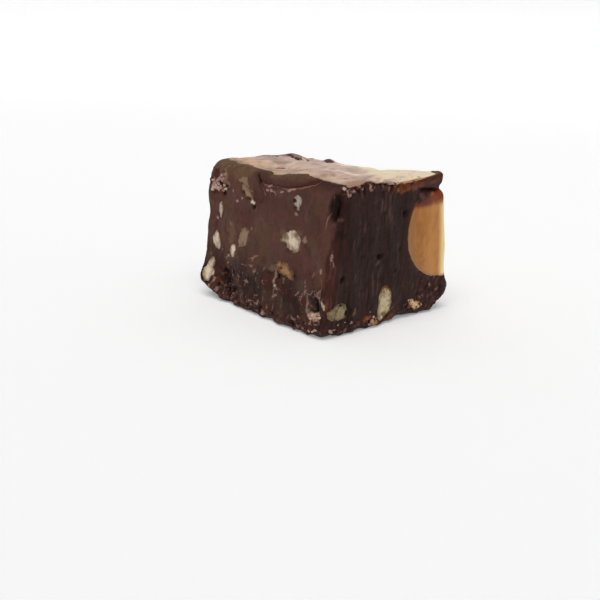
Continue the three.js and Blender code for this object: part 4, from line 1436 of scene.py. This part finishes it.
@dataclass(frozen=True)
class NearEdge(Feature):
    """The chipped upright edge between the smeared and the clean cut, with a scoop near its top.

    s runs across it: minus the way along the smeared cut, plus the way along the clean one. A lip
    stands along s = -1.75 - 0.13 (28.9 - z), and the scoop ends below on the arc
    z = 24 + 0.28 s - 0.12 (s - 0.5)^2.
    """

    middle: float = 0.5
    half_width: float = 1.9
    depth: float = 0.25
    scoop: Oval = Oval(-0.2, 26.3, 2.5, 3.1)
    scoop_depth: float = 1.0
    lip_height: float = 0.35
    ragged: Pattern = Pattern(54, 1.8, 3, (1, 1, 2.5))
    flecks: Pattern = Pattern(55, 0.8, 2, (1, 1, 2), 0.3, 0.55)

    def across(self, coat: Coat) -> Array:
        """The way across the edge, which leans as the smeared cut does."""
        side = np.full_like(coat.z, -SQUARE.width / 2)
        on_left = coat.facing(Cut.LEFT) > coat.facing(Cut.FRONT)
        return np.where(on_left, -(coat.y + SQUARE.depth / 2), coat.x - side - SQUARE.lean(side, coat.z))

    def lay(self, coat: Coat) -> None:
        """Lays the broken strip, the scoop painted dark as shade, its lip with a pale painted highlight,
        its arc, and pink flecks low down.
        """
        s, z = self.across(coat), coat.z
        shown = ((coat.x < 0) & (coat.y < 0)) * coat.upright()
        ragged = 0.9 * coat.noise(self.ragged)
        strip = ramp(np.abs(s - self.middle) - ragged, self.half_width, self.half_width - 0.6)
        strip = strip * shown * ramp(z, 30, 28.5)
        coat.smear = coat.smear * (1 - 0.9 * strip)
        coat.lay(Tint.RED, 0.5 * strip, -self.depth)
        scoop = ramp(self.scoop.span(s, z) - 0.2 * ragged, 1.15, 0.8) * shown
        coat.smear = coat.smear * (1 - scoop)
        # Painted shade: the scoop's hollow is dark red and near black
        coat.lay(Tint.RED, scoop)
        coat.lay(Tint.PIT_SHADE, 0.9 * scoop, -self.scoop_depth)
        lip = band(s, -1.75 - 0.13 * (28.9 - z), 0.2) * ramp(z, 30.2, 28.7) * shown
        # Painted highlight: a pale line along the raised lip
        coat.lay(Tint.VEIL, 0.75 * lip * ramp(z, 21, 23.5))
        coat.height = coat.height + self.lip_height * lip * ramp(z, 16, 21)
        arc = band(z, 24.0 + 0.28 * s - 0.12 * (s - 0.5) ** 2, 0.28)
        coat.lay(Tint.LINE, 1.2 * arc * ramp(np.abs(s), 2.6, 2) * shown, 0.2)
        coat.lay(Tint.PINK, 0.35 * coat.share(self.flecks) * strip * ramp(z, 22, 18), 0.1)


@dataclass(frozen=True)
class CrumblyFoot(Feature):
    """Loose crumb along the base, with pinkish crests that are painted highlights, dark gaps that are
    painted shade, and two larger patches.
    """

    reach: float = 2.6
    wander: float = 1.4
    more_on_left: float = 0.9
    depth: float = 0.8
    edge: Pattern = Pattern(28, 5)
    crests: Pattern = Pattern(33, 2.2, low=-0.95, high=0.05)
    pink: Pattern = Pattern(34, 1.5, low=-0.1, high=0.2)
    coarse: Grain = Grain(31)
    fine: Grain = Grain(32)
    squat: Numbers = (1, 1, 0.75)
    # Larger patches: middle, reach along each axis, strength
    patches: tuple[tuple[Numbers, Numbers, float], ...] = (
        ((-18.5, 11.2, 4.4), (3, 4.2, 3.2), 0.9),
        ((13.5, -20.6, 5.5), (4.8, 3.5, 3.8), 1.3),
    )

    def lay(self, coat: Coat) -> None:
        """Lays the crumb's relief, its crests lit with a painted highlight and its gaps painted dark as
        shade.
        """
        reach = self.reach + self.wander * coat.noise(self.edge) + self.more_on_left * coat.facing(Cut.LEFT)
        share = ramp(coat.z - reach, 0, -1.4) * coat.upright()
        for middle, around, strength in self.patches:
            share = share + strength * bell(coat.points, middle, around)
        share = np.clip(share, 0, 1)
        place = coat.points * np.array(self.squat)
        crumb = self.coarse.crumb(place, 1.35) + 0.5 * self.fine.crumb(place, 0.7)
        coat.height = coat.height + self.depth * share * (crumb - CRUMB_LEVEL)
        coat.smear = coat.smear * (1 - 0.8 * share)
        # Painted highlight: the tops of the crumbs are lighter and pinker
        crest = share * ramp(crumb, 0.72, 1.02) * coat.share(self.crests)
        coat.lay(Tint.LINE, 0.9 * crest)
        coat.lay(Tint.PINK, 0.75 * crest * coat.share(self.pink))
        # Painted shade: the cracks between crumbs are dark
        coat.lay(Tint.PIT_SHADE, 0.8 * share * ramp(crumb, 0.62, 0.32))
        coat.lay(Tint.RED, 0.35 * share)


@dataclass(frozen=True)
class Brow(Feature):
    """Small dark, red and tan crumbs along the clean cuts' top edge, under the skin, with painted shade
    between them.
    """

    below_top: float = 0.9
    half_width: float = 1.5
    wander: float = 1.1
    height: float = 0.8
    edge: Pattern = Pattern(36, 1.2)
    pick: Pattern = Pattern(37, 0.8)
    olive: Pattern = Pattern(34, 1.0, low=0.1, high=0.3)
    veil: Pattern = Pattern(33, 0.9, low=0.25, high=0.45)
    orange: Pattern = Pattern(38, 1.6, low=-0.8, high=0.2)
    crumbs: Grain = Grain(35)

    def lay(self, coat: Coat) -> None:
        """Lays the crumbs on the near half of the strip and an orange stain on its other half."""
        middle = SQUARE.height + SQUARE.top_level(coat.x, coat.y) - self.below_top
        off = np.abs(coat.z - middle) - self.wander * coat.noise(self.edge)
        clean = coat.facing(Cut.FRONT) + 0.7 * coat.facing(Cut.RIGHT)
        strip = ramp(off, self.half_width, self.half_width - 0.7) * clean
        near = strip * ramp(coat.x, 5, 1)
        crumb = self.crumbs.crumb(coat.points, 0.9)
        pick = coat.noise(self.pick)
        coat.height = coat.height + self.height * near * (crumb - 0.5)
        coat.lay(Tint.RED, 0.9 * near * smooth(1.2 * pick + 0.8))
        # Painted shade: the cracks between the crumbs are near black
        coat.lay(Tint.PIT_SHADE, 0.85 * near * ramp(crumb, 0.46, 0.26))
        grain = near * ramp(crumb, 0.4, 0.6)
        coat.lay(Tint.PINK, 0.8 * grain * ramp(pick, -0.05, 0.2) * ramp(coat.x, -4, -8))
        coat.lay(Tint.OLIVE, 0.8 * grain * coat.share(self.olive))
        coat.lay(Tint.VEIL, 0.8 * grain * coat.share(self.veil))
        stain = ramp(coat.x, -2, 2) * ramp(coat.x, 14.5, 11.5) * coat.share(self.orange)
        coat.lay(Tint.ORANGE, 0.5 * strip * stain)


@dataclass(frozen=True)
class PoolMouth(Feature):
    """The lip over the pool, the crease under it, and the pool's reddish border.

    The crease's height falls along the front cut from crease_high by crease_slope a millimetre
    after crease_x, down to crease_low, and runs on round the corner at that height.
    """

    crease_x: float = 7.5
    crease_high: float = 28.5
    crease_low: float = 27.2
    crease_slope: float = 0.14
    crease_width: float = 0.3
    crease_depth: float = 0.8
    lip_middle: Numbers = (15, -20.6, 29.8)
    lip_reach: Numbers = (5.6, 4, 1.9)

    def lay(self, coat: Coat) -> None:
        """Lays the crease, painted dark as shade and then orange along it, the lip with its pale rim, a
        painted highlight where it faces up and at its right end, and the border.
        """
        x = coat.x
        front, right = coat.facing(Cut.FRONT), coat.facing(Cut.RIGHT) * (x > 0)
        falling = np.maximum(self.crease_high - self.crease_slope * (x - self.crease_x), self.crease_low)
        middle = np.where(front > right, falling, self.crease_low)
        length = ramp(x, 6.5, 10.5) * front + ramp(coat.y, -10, -17) * right
        crease = band(coat.z, middle, self.crease_width) * length
        coat.height = coat.height - self.crease_depth * crease
        # Painted shade: the crease is near black
        coat.lay(Tint.PIT_SHADE, 1.5 * crease * ramp(x, 15.5, 13) * ramp(x, 7.5, 9))
        coat.lay(Tint.ORANGE, 0.9 * crease * ramp(x, 13, 15))
        lip = smooth(1.9 * bell(coat.points, self.lip_middle, self.lip_reach))
        coat.lay(Tint.RED, 0.95 * lip)
        coat.lay(Tint.LINE, 0.2 * lip)
        # Painted highlight: the lip is paler where it faces up and at its right end
        coat.lay(Tint.VEIL, 0.55 * lip * (ramp(coat.out[..., 2], 0.3, 0.8) + ramp(x, 17.3, 18.5)))
        coat.lay(Tint.RED, 0.7 * band(POOL.depth_inside(coat.points), -0.15, 0.4))


@dataclass(frozen=True)
class FarLumps(Feature):
    """The lumps that break through the skin: reddish brown tops with pinkish patches of thin skin, lighter
    where they face up as a painted highlight of their gloss.
    """

    lumps: tuple[Oval, ...] = COVER.lumps[1:]
    pink: Pattern = Pattern(39, 1.6, low=-0.3, high=0.1)

    def lay(self, coat: Coat) -> None:
        """Lays each lump's colours on its top."""
        for lump in self.lumps:
            # Painted highlight: the colours are laid in proportion to how much the lump faces up
            inside = ramp(lump.span(coat.x, coat.y), 1.25, 0.75) * np.maximum(coat.out[..., 2], 0)
            coat.lay(Tint.RED, 0.5 * inside)
            coat.lay(Tint.LINE, inside)
            coat.lay(Tint.PINK, 0.85 * inside * coat.share(self.pink))


@dataclass
class FudgeBody:
    """The block of chocolate fudge, from the middle of its base round to the middle of its top."""

    columns: int = 560
    base_rings: int = 8
    side_rings: int = 118
    top_rings: int = 48
    skin_bed: float = 0.4
    pool_bed: float = 0.5
    nut_bed: float = 0.4
    smooth_bed: float = 0.3
    uneven: float = 0.05
    surface: Pattern = Pattern(30, 1.3, 3)
    features: tuple[Feature, ...] = (
        KnifeLines(),
        DraggedFilm(),
        PressedEdge(),
        NearEdge(),
        CrumblyFoot(),
        Brow(),
        PoolMouth(),
        FarLumps(),
    )

    def box(self) -> Array:
        """Rings of the plain box: out over the base, up the sides and in over the top."""
        out = 1 - (np.arange(1, self.base_rings)[::-1] / self.base_rings) ** 1.6
        inward = 1 - (np.arange(1, self.top_rings) / self.top_rings) ** 1.2
        height = crowd(np.linspace(0, 1, self.side_rings)) * SQUARE.height
        share = np.concatenate([out, np.ones_like(height), inward])
        level = np.concatenate([np.zeros_like(out), height, np.full_like(inward, SQUARE.height)])
        return SQUARE.rings(share, level, self.columns)

    def beds(self, points: Array) -> Array:
        """How far the fudge lies back under the skin, the pool and the nuts."""
        bed = self.skin_bed * smooth(2 * COVER.share(points) - 1)
        bed = np.maximum(bed, self.pool_bed * ramp(POOL.depth_inside(points), 0.2, 0.7))
        for nut in NUTS:
            bed = np.maximum(bed, self.nut_bed * ramp(nut.span(points), 0.9, 0.78))
        return bed

    def build(self) -> bpy.types.Object:
        """Makes the block, lowered where the skin, the pool and the nuts lie in it."""
        points, out = SQUARE.surface(self.box())
        coat = Coat(points, out)
        coat.height = self.uneven * coat.noise(self.surface)
        for feature in self.features:
            feature.lay(coat)
        coat.mark()
        bed = self.beds(points)
        rise = coat.height * (1 - smooth(bed / self.smooth_bed)) - bed
        rings = points + out * rise[..., None]
        rings[..., 2] = np.maximum(rings[..., 2], 0)
        start = np.array([0, 0, rings[0, :, 2].mean()])
        return Shell(rings, start).piece("fudge_body", coat.named_tints())


@dataclass
class CaramelPool:
    """The soft caramel at the cut corner: a lid round the corner and a bowl behind it."""

    around: int = 320
    lid_rings: int = 70
    rim_rings: int = 5
    bowl_rings: int = 16
    proud: float = 0.08
    bulge: float = 0.25
    wave_height: float = 0.1
    rim_depth: float = 0.16
    overhang: float = 1.012
    rolled_under: float = 0.9
    deep: float = 7.0
    waves: Pattern = Pattern(51, 5, 3)
    dusk_middle: Numbers = (9.4, -20.6, 26.2)
    dusk_reach: Numbers = (2.4, 4, 1.7)

    def spread(self) -> tuple[Array, Array]:
        """How far out each ring is as a share of the outline, and how far it is sunk."""
        lid = np.linspace(0, 1, self.lid_rings + 1)[1:]
        rim = np.linspace(1, self.overhang, self.rim_rings + 1)[1:]
        angle = np.linspace(0, np.pi / 2, self.bowl_rings + 2)[1:-1]
        rolled = np.linspace(0.15, self.rolled_under, self.rim_rings)
        behind = self.rolled_under + self.deep * np.sin(angle)
        share = np.concatenate([lid, rim, np.cos(angle)])
        return share[:, None], np.concatenate([0 * lid, rolled, behind])[:, None]

    def tints(self, points: Array, s: Array, z: Array, wave: Array) -> dict[str, Array]:
        """The painted shade towards the left, the burnt upper part, the pale rim, the painted highlight
        that glows along the upright edge and a dusky patch.
        """
        inside = POOL.depth_inside(points)
        dusk = 1.7 * bell(points, self.dusk_middle, self.dusk_reach)
        return {
            # Painted shade: darker further along the front cut away from the corner
            "shade": ramp(s, -4, -11),
            "burnt": ramp(z + 1.4 * wave, 22.4, 26.6),
            "rim": 0.7 * band(inside, 0.3, 0.3) * ramp(z, 23, 19),
            # Painted highlight: the upright edge is lit as if from behind
            "glow": ramp(s, -2.2, -0.2) * (0.2 + 0.8 * ramp(s, 3.6, -0.6)) * ramp(z, 26.5, 22.5),
            "dusk": 0.8 * smooth(dusk - 0.2 + 0.3 * wave),
        }

    def build(self) -> bpy.types.Object:
        """Makes the lid out to the outline, rolls its rim under, and closes the bowl behind.

        The lid bulges by 1 - share^2 of its way out. Behind it the rings shrink as the cosine of an
        angle while they sink as its sine.
        """
        turns = np.linspace(0, 2 * np.pi, self.around, endpoint=False)
        reach = POOL.reach(turns)
        share, sunk = self.spread()
        s = POOL.centre[0] + share * reach * np.cos(turns)
        z = POOL.centre[1] + share * reach * np.sin(turns)
        points, out = SQUARE.surface(POOL.box(s, z))
        wave = self.waves.at(points)
        front = np.minimum(share, 1)
        lift = self.proud + self.bulge * (1 - front**2) + self.wave_height * wave
        lift = lift - self.rim_depth * ramp(front, 0.975, 1) - sunk
        rings = points + out * lift[..., None]
        return Shell(rings).piece("caramel_pool_filling", self.tints(points, s, z, wave))


@dataclass
class CaramelSkin:
    """The marbled caramel skin: over the top, a little way down the cuts, and back underneath."""

    columns: int = 480
    top_rings: int = 72
    side_rings: int = 10
    under_rings: int = 16
    proud: float = 0.03
    fold_height: float = 0.16
    hem: float = 1.6
    sink: float = 0.45
    tuck: float = 0.8
    under: float = 2.1
    drawn_in: Numbers = (0.84, 0.88, 1)
    folds: Pattern = Pattern(61, 3.2, 3, (1.4, 1, 1))
    specks: Pattern = Pattern(62, 1.0, 2, (1.6, 1, 1), 0.3, 0.55)
    crests: Pattern = Pattern(63, 1.2, low=0.15, high=0.45)
    ragged: Pattern = Pattern(65, 0.9, 3)
    streak_places: Pattern = Pattern(67, 5, 1, low=-0.4, high=0.6)
    # Small pits and dark flecks in the top: x, y, long, wide, turn, depth
    pits: tuple[Numbers, ...] = (
        (-7.8, 6.4, 1.6, 0.7, -30, 0.45),
        (-7.9, 0.1, 1.1, 0.5, -30, 0.35),
        (-3.9, -9.6, 1.3, 0.6, -30, 0.4),
        (-9.6, -7.6, 1.0, 0.4, -20, 0.25),
        (-1.2, -16.4, 1.2, 0.5, 10, 0.3),
        (-6.4, -13.4, 0.9, 0.4, -10, 0.25),
        (4.0, 2.0, 1.1, 0.5, -30, 0.35),
        (10.0, -6.0, 1.0, 0.5, 20, 0.3),
        (-12.0, 12.5, 0.8, 0.4, 40, 0.3),
        (-2.0, 14.0, 1.4, 0.5, 60, 0.3),
        (5.2, -11.0, 1.2, 0.4, 0, 0.25),
    )

    def box(self) -> Array:
        """Rings of the plain box: out over the top, down the hem and back in underneath."""
        out = 1 - (np.arange(1, self.top_rings)[::-1] / self.top_rings) ** 1.2
        down = np.linspace(0, self.hem, self.side_rings)
        back = (1 - np.arange(1, self.under_rings) / self.under_rings) ** 0.8
        share = np.concatenate([out, np.ones_like(down), back])
        level = np.concatenate([0 * out, -down, np.full_like(back, -self.hem)])
        return SQUARE.rings(share, SQUARE.height + level, self.columns)

    def pitted(self, points: Array) -> tuple[Array, Array]:
        """How deep the pits are at each point, and how much dark chocolate shows there and in streaks."""
        x, y, _ = np.moveaxis(points, -1, 0)
        ragged = 0.9 * self.ragged.at(points)
        streaks = Grain(66).wisps(points, 4.2, 0.06, (2.2, 1, 1)) * self.streak_places.share(points)
        deep, swirl = np.zeros_like(x), 0.45 * streaks
        for px, py, long, wide, turn, depth in self.pits:
            crater = ramp(Oval(px, py, long, wide, turn).span(x, y) - ragged, 0.95, 0.35)
            deep = deep + 0.8 * depth * crater
            swirl = np.maximum(swirl, crater)
        return deep, swirl

    def tints(self, points: Array, out: Array, fold: Array, swirl: Array) -> dict[str, Array]:
        """The border, cream, tan, amber and dark swirls, from the corner that each comes from; the broad
        cream also paints a reflection of the bright surroundings.
        """
        x, y, _ = np.moveaxis(points, -1, 0)
        inside = COVER.inside(points) + 0.5 * fold
        speck = self.specks.share(points) * ramp(np.minimum(x + 8, y + 14), 1, -8)
        crest = self.crests.share(points) * ramp(inside, 1.6, 0.8) * ramp(x, -4, -9) * ramp(y, -6, -12)
        cut_edge = ramp(-out[..., 1], 0.3, 0.7) + ramp(np.abs(out[..., 0]), 0.4, 0.8)
        veins = Grain(68).wisps(points, 5.5, 0.1, (1.8, 1, 1))
        return {
            "border": 0.75 * ramp(inside, 1.1, 0) * ramp(x, 4, -2),
            # Painted reflection in part: besides the cream marbling, a broad cream lightens the top towards
            # +X and -Y
            "cream": 0.9 * smooth((x - 0.5 * y - 2) / 14 + 0.6 * fold) + 0.9 * crest,
            "tan": 0.9 * smooth(1.6 - inside / 2.2) * ramp(x, -6, -10) + 0.5 * ramp(y, 17, 20),
            "amber": 0.8 * cut_edge * ramp(x, -6, 4) + 0.45 * veins,
            "swirl": 0.85 * np.maximum(swirl, 0.8 * speck),
        }

    def build(self) -> bpy.types.Object:
        """Makes the skin's outer face and hem on the square, and its underside below the top.

        The underside is the top's own surface, lowered and drawn in from the cuts. Outside its
        border the skin is tucked into the fudge.
        """
        box = self.box()
        outside = self.top_rings - 1 + self.side_rings
        points, out = SQUARE.surface(box[:outside])
        fold = self.folds.at(points)
        cover = smooth(2 * COVER.share(points))
        deep, swirl = self.pitted(points)
        lift = self.proud + self.fold_height * fold * cover - self.sink * (1 - cover) - deep
        lift = lift - self.tuck * ramp(COVER.inside(points), -0.3, -1.1)
        inner = box[outside:]
        level = SQUARE.height + SQUARE.top_level(inner[..., 0], inner[..., 1]) - self.under
        lower = np.concatenate([inner[..., :2], level[..., None]], axis=-1) * np.array(self.drawn_in)
        rings = np.concatenate([points + out * lift[..., None], lower])
        below = np.zeros_like(level)
        shares = self.tints(points, out, fold, swirl).items()
        tints = {name: np.concatenate([np.clip(share, 0, 1), below]) for name, share in shares}
        return Shell(rings).piece("caramel_skin_layer", tints)


@dataclass(frozen=True)
class CrumbBed:
    """A stretch of the surface that crumbs cling to.

    Its reach is along the cut and up it, and its crumbs' sizes run from the least to the largest.
    """

    cut: Cut
    along: tuple[float, float]
    height: tuple[float, float]
    count: int
    sizes: tuple[float, float] = (0.15, 0.45)


@dataclass
class Crumbs:
    """Loose and clinging crumbs of one kind, as one mesh of small chunks."""

    name: str
    beds: tuple[CrumbBed, ...]
    seed: int
    sunk: float = 0.55
    proud: float = 0.05
    rough: float = 0.35
    lowest: float = 0.02

    def chunk(self) -> tuple[Array, Array]:
        """A ball of 12 corners and 20 faces, each face then split into 4: 42 points, 80 faces."""
        golden = (1 + 5**0.5) / 2
        corners = [(0, a, b * golden) for a in (-1, 1) for b in (-1, 1)]
        points = np.array([np.roll(corner, turn) for corner in corners for turn in range(3)], float)
        away = np.linalg.norm(points[:, None] - points, axis=-1)
        close = np.isclose(away, 2)
        threes = combinations(range(len(points)), 3)
        faces = np.array([(i, j, k) for i, j, k in threes if close[i, j] and close[j, k] and close[i, k]])
        edges = np.unique(np.sort(faces[:, [0, 1, 1, 2, 2, 0]].reshape(-1, 2), axis=1), axis=0)
        number = np.zeros_like(close, int)
        number[edges[:, 0], edges[:, 1]] = len(points) + np.arange(len(edges))
        number = number + number.T
        a, b, c = faces.T
        ab, bc, ca = number[a, b], number[b, c], number[c, a]
        quarters = ((a, ab, ca), (b, bc, ab), (c, ca, bc), (ab, bc, ca))
        split = np.concatenate([np.stack(quarter, axis=-1) for quarter in quarters])
        points = np.concatenate([points, points[edges].mean(axis=1)])
        points = points / np.linalg.norm(points, axis=1, keepdims=True)
        p, q, r = np.moveaxis(points[split], 1, 0)
        inward = np.sum(p * np.cross(q, r), axis=1) < 0
        split[inward] = split[inward][:, ::-1]
        return points, split

    def build(self) -> bpy.types.Object:
        """Scatters the chunks over the beds, each stretched, turned and roughened its own way."""
        rng = np.random.default_rng(self.seed)
        ball, faces = self.chunk()
        middles, facings, sizes = [], [], []
        for bed in self.beds:
            along = rng.uniform(*bed.along, bed.count)
            height = rng.uniform(*bed.height, bed.count)
            size = rng.uniform(0, 1, bed.count) ** 2 * (bed.sizes[1] - bed.sizes[0]) + bed.sizes[0]
            points, out = SQUARE.on_cut(bed.cut, along, height)
            middles.append(points)
            facings.append(out)
            sizes.append(size)
        middle, facing, size = (np.concatenate(part) for part in (middles, facings, sizes))
        count = len(size)
        turn, _ = np.linalg.qr(rng.normal(size=(count, 3, 3)))
        turn = turn * np.sign(np.linalg.det(turn))[:, None, None]
        stretch = rng.uniform(0.5, 1.3, (count, 1, 3))
        place = ball * 1.3 + rng.uniform(0, 40, (count, 1, 3))
        knobs = 1 + self.rough * Grain(self.seed).at(place, 1.0)
        body = (ball * stretch * knobs[..., None] * size[:, None, None]) @ turn
        points = middle[:, None] + body + (facing * (self.proud - self.sunk * size[:, None]))[:, None]
        points[..., 2] = np.maximum(points[..., 2], self.lowest)
        rows = (faces + len(ball) * np.arange(count)[:, None, None]).reshape(-1, 3)
        shade = np.repeat(rng.uniform(0, 1, count), len(ball))
        return make_piece(self.name, points.reshape(-1, 3), [rows], {"shade": shade})


@dataclass(frozen=True)
class CrumbFinish:
    """Loose crumb: each crumb has its own shade between two colours."""

    name: str
    dark: Numbers
    light: Numbers

    def material(self) -> bpy.types.Material:
        """Mixes the two colours by each crumb's shade and a little noise."""
        mix = Recipe(self.name)
        fine = mix.noise(0.4, 3, 0.6)
        share = mix.maths("ADD", mix.tint("shade"), mix.pick(fine, 0.3, 0.7, (-0.2, 0.2)))
        mix.feed("Base Color", mix.mix(share, self.dark, self.light))
        mix.feed("Roughness", mix.pick(fine, 0.3, 0.7, (0.5, 0.7)))
        mix.set(Specular_IOR_Level=0.14)
        mix.bump((fine, 0.06))
        return mix.material


@dataclass(frozen=True)
class Studio:
    """A white sweep all round, soft daylight from above and the photograph's camera."""

    around: int = 96
    bend_rings: int = 24
    floor_rings: Numbers = (0.1, 0.3)
    floor_radius: float = 0.55
    wall_radius: float = 0.95
    wall_height: float = 0.5
    paper: float = 0.84
    wall_paper: float = 0.42
    paper_glow: float = 0.21
    wall_glow: float = 0.0
    world: float = 0.55
    key_strength: float = 1.6
    key_angle: float = 48
    key_from: Numbers = (-0.35, -0.25, 0.9)
    camera_place: Numbers = (-130.14, -134.60, 59.32)
    camera_azimuth: float = -42.63
    camera_elevation: float = 17.60
    camera_roll: float = 2.15
    lens: float = 51.0
    sensor: float = 36
    clip_start: float = 0.01

    @property
    def bend(self) -> float:
        """Radius of the bend from the floor up into the wall."""
        return self.wall_radius - self.floor_radius

    def profile(self) -> tuple[Array, Array]:
        """Radius and height of each ring of the sweep, in metres.

        It is a line on the floor, then floor_radius + bend * sin(t) and height bend * (1 - cos(t))
        up a quarter turn, then a line up the wall.
        """
        quarter = np.linspace(0, np.pi / 2, self.bend_rings)
        curve = self.floor_radius + self.bend * np.sin(quarter)
        radius = np.concatenate([self.floor_rings, curve, [self.wall_radius]])
        level = np.zeros(len(self.floor_rings))
        lift = self.bend * (1 - np.cos(quarter))
        return radius, np.concatenate([level, lift, [self.bend + self.wall_height]])

    def paper_material(self) -> bpy.types.Material:
        """White paper that glows a little on the floor and is greyer up the wall."""
        mix = Recipe("white_paper")
        floor, wall = ((shade, shade, shade, 1) for shade in (self.paper, self.wall_paper))
        mix.feed("Base Color", mix.mix(mix.tint("wall"), floor, wall))
        mix.set(Roughness=0.9, Specular_IOR_Level=0.1)
        mix.set(Emission_Color=(1, 1, 1, 1))
        glow = mix.pick(mix.tint("wall"), 0, 1, (self.paper_glow, self.wall_glow))
        mix.feed("Emission Strength", glow)
        return mix.material

    def sweep(self) -> None:
        """Makes the floor and wall: the profile turned about the upright axis."""
        turns = np.linspace(0, 2 * np.pi, self.around, endpoint=False)
        radius, rise = self.profile()
        flat = radius[:, None, None] * np.stack([np.cos(turns), np.sin(turns)], axis=-1)
        tall = np.broadcast_to(rise[:, None, None], (*flat.shape[:2], 1))
        points = np.concatenate([flat, tall], axis=-1).reshape(-1, 3)
        grid = np.arange(len(points)).reshape(-1, self.around)
        faces = [quads_between(grid)[:, ::-1], fan(grid.size, grid[0], np.roll(grid[0], -1))]
        stacked = np.concatenate([points, np.zeros((1, 3))]) / MM
        wall = np.append(np.repeat(smooth(rise / self.bend), self.around), 0)
        floor = make_piece("white_sweep", stacked, faces, {"wall": wall})
        floor.data.materials.append(self.paper_material())

    def lights(self) -> None:
        """Lights the world evenly and adds a broad soft sun from high on the left."""
        world = bpy.data.worlds.new("white_room")
        world.use_nodes = True
        background = world.node_tree.nodes["Background"]
        background.inputs["Color"].default_value = (1, 1, 1, 1)
        background.inputs["Strength"].default_value = self.world
        bpy.context.scene.world = world
        lamp = bpy.data.lights.new("soft_sun", "SUN")
        lamp.energy = self.key_strength
        lamp.angle = math.radians(self.key_angle)
        holder = bpy.data.objects.new("soft_sun", lamp)
        holder.location = Vector(self.key_from)
        holder.rotation_euler = Vector(self.key_from).to_track_quat("Z", "Y").to_euler()
        bpy.context.scene.collection.objects.link(holder)

    def camera(self) -> None:
        """Places the camera by its azimuth, elevation and roll, as in the photograph."""
        angles = (self.camera_azimuth, self.camera_elevation, self.camera_roll)
        turn, rise, roll = (math.radians(angle) for angle in angles)
        flat = math.cos(rise)
        back = Vector((math.sin(turn) * flat, -math.cos(turn) * flat, math.sin(rise)))
        right = Vector((math.cos(turn), math.sin(turn), 0))
        up = back.cross(right)
        across = math.cos(roll) * right + math.sin(roll) * up
        upward = math.cos(roll) * up - math.sin(roll) * right
        place = Matrix((across, upward, back)).transposed().to_4x4()
        place.translation = Vector(self.camera_place) * MM
        lens = bpy.data.cameras.new("photo_camera")
        lens.lens = self.lens
        lens.sensor_width = self.sensor
        lens.clip_start = self.clip_start
        holder = bpy.data.objects.new("photo_camera", lens)
        holder.matrix_world = place
        bpy.context.scene.collection.objects.link(holder)
        bpy.context.scene.camera = holder

    def build(self) -> None:
        """Sets the whole stage and the plain view transform."""
        self.sweep()
        self.lights()
        self.camera()
        bpy.context.scene.view_settings.view_transform = "Standard"


CHOCOLATE_CRUMBS = Crumbs(
    "chocolate_crumbs",
    (
        CrumbBed(Cut.LEFT, (-19, 19), (0.2, 3.4), 90),
        CrumbBed(Cut.FRONT, (-15, 16), (0.2, 2.4), 60),
        CrumbBed(Cut.FRONT, (-15, 7), (29.8, 31), 40, (0.12, 0.3)),
        CrumbBed(Cut.RIGHT, (-19, 19), (0.2, 2.4), 50),
        CrumbBed(Cut.BACK, (-17, 17), (0.2, 2.8), 70),
        CrumbBed(Cut.LEFT, (8, 15), (2, 7.5), 16, (0.2, 0.5)),
    ),
    seed=71,
)
NUT_CRUMBS = Crumbs(
    "pecan_crumbs",
    (
        CrumbBed(Cut.LEFT, (14.5, 20), (23, 29), 8, (0.3, 0.6)),
        CrumbBed(Cut.LEFT, (-19.5, -13), (1.0, 5), 9, (0.3, 0.7)),
        CrumbBed(Cut.FRONT, (-16, -2), (0.8, 2.8), 8, (0.3, 0.6)),
        CrumbBed(Cut.RIGHT, (-10, 14), (0.3, 2.5), 5, (0.3, 0.6)),
        CrumbBed(Cut.BACK, (-12, 14), (0.3, 2.5), 6, (0.3, 0.6)),
    ),
    seed=72,
)


def main() -> None:
    """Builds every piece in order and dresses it."""
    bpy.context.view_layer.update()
    Studio().build()
    chocolate = ChocolateFinish().material()
    hand_over(FudgeBody().build(), chocolate, Slot.CHOCOLATE, "fudge")
    hand_over(CaramelPool().build(), CaramelFinish().material(), Slot.SOFT_CARAMEL, "caramel_pool")
    hand_over(CaramelSkin().build(), SkinFinish().material(), Slot.SKIN, "caramel_skin")
    meats = {meat: meat.finish.material(meat.name.lower()) for meat in Meat}
    for nut in NUTS:
        hand_over(nut.build(), meats[nut.meat], Slot.PECAN, nut.node)
    fudge_crumb = CrumbFinish("chocolate_crumb", srgb(48, 28, 24), srgb(104, 68, 58))
    hand_over(CHOCOLATE_CRUMBS.build(), fudge_crumb.material(), Slot.CHOCOLATE)
    nut_crumb = CrumbFinish("pecan_crumb", srgb(128, 88, 70), srgb(200, 168, 146))
    hand_over(NUT_CRUMBS.build(), nut_crumb.material(), Slot.PECAN)


if __name__ == "__main__":
    main()
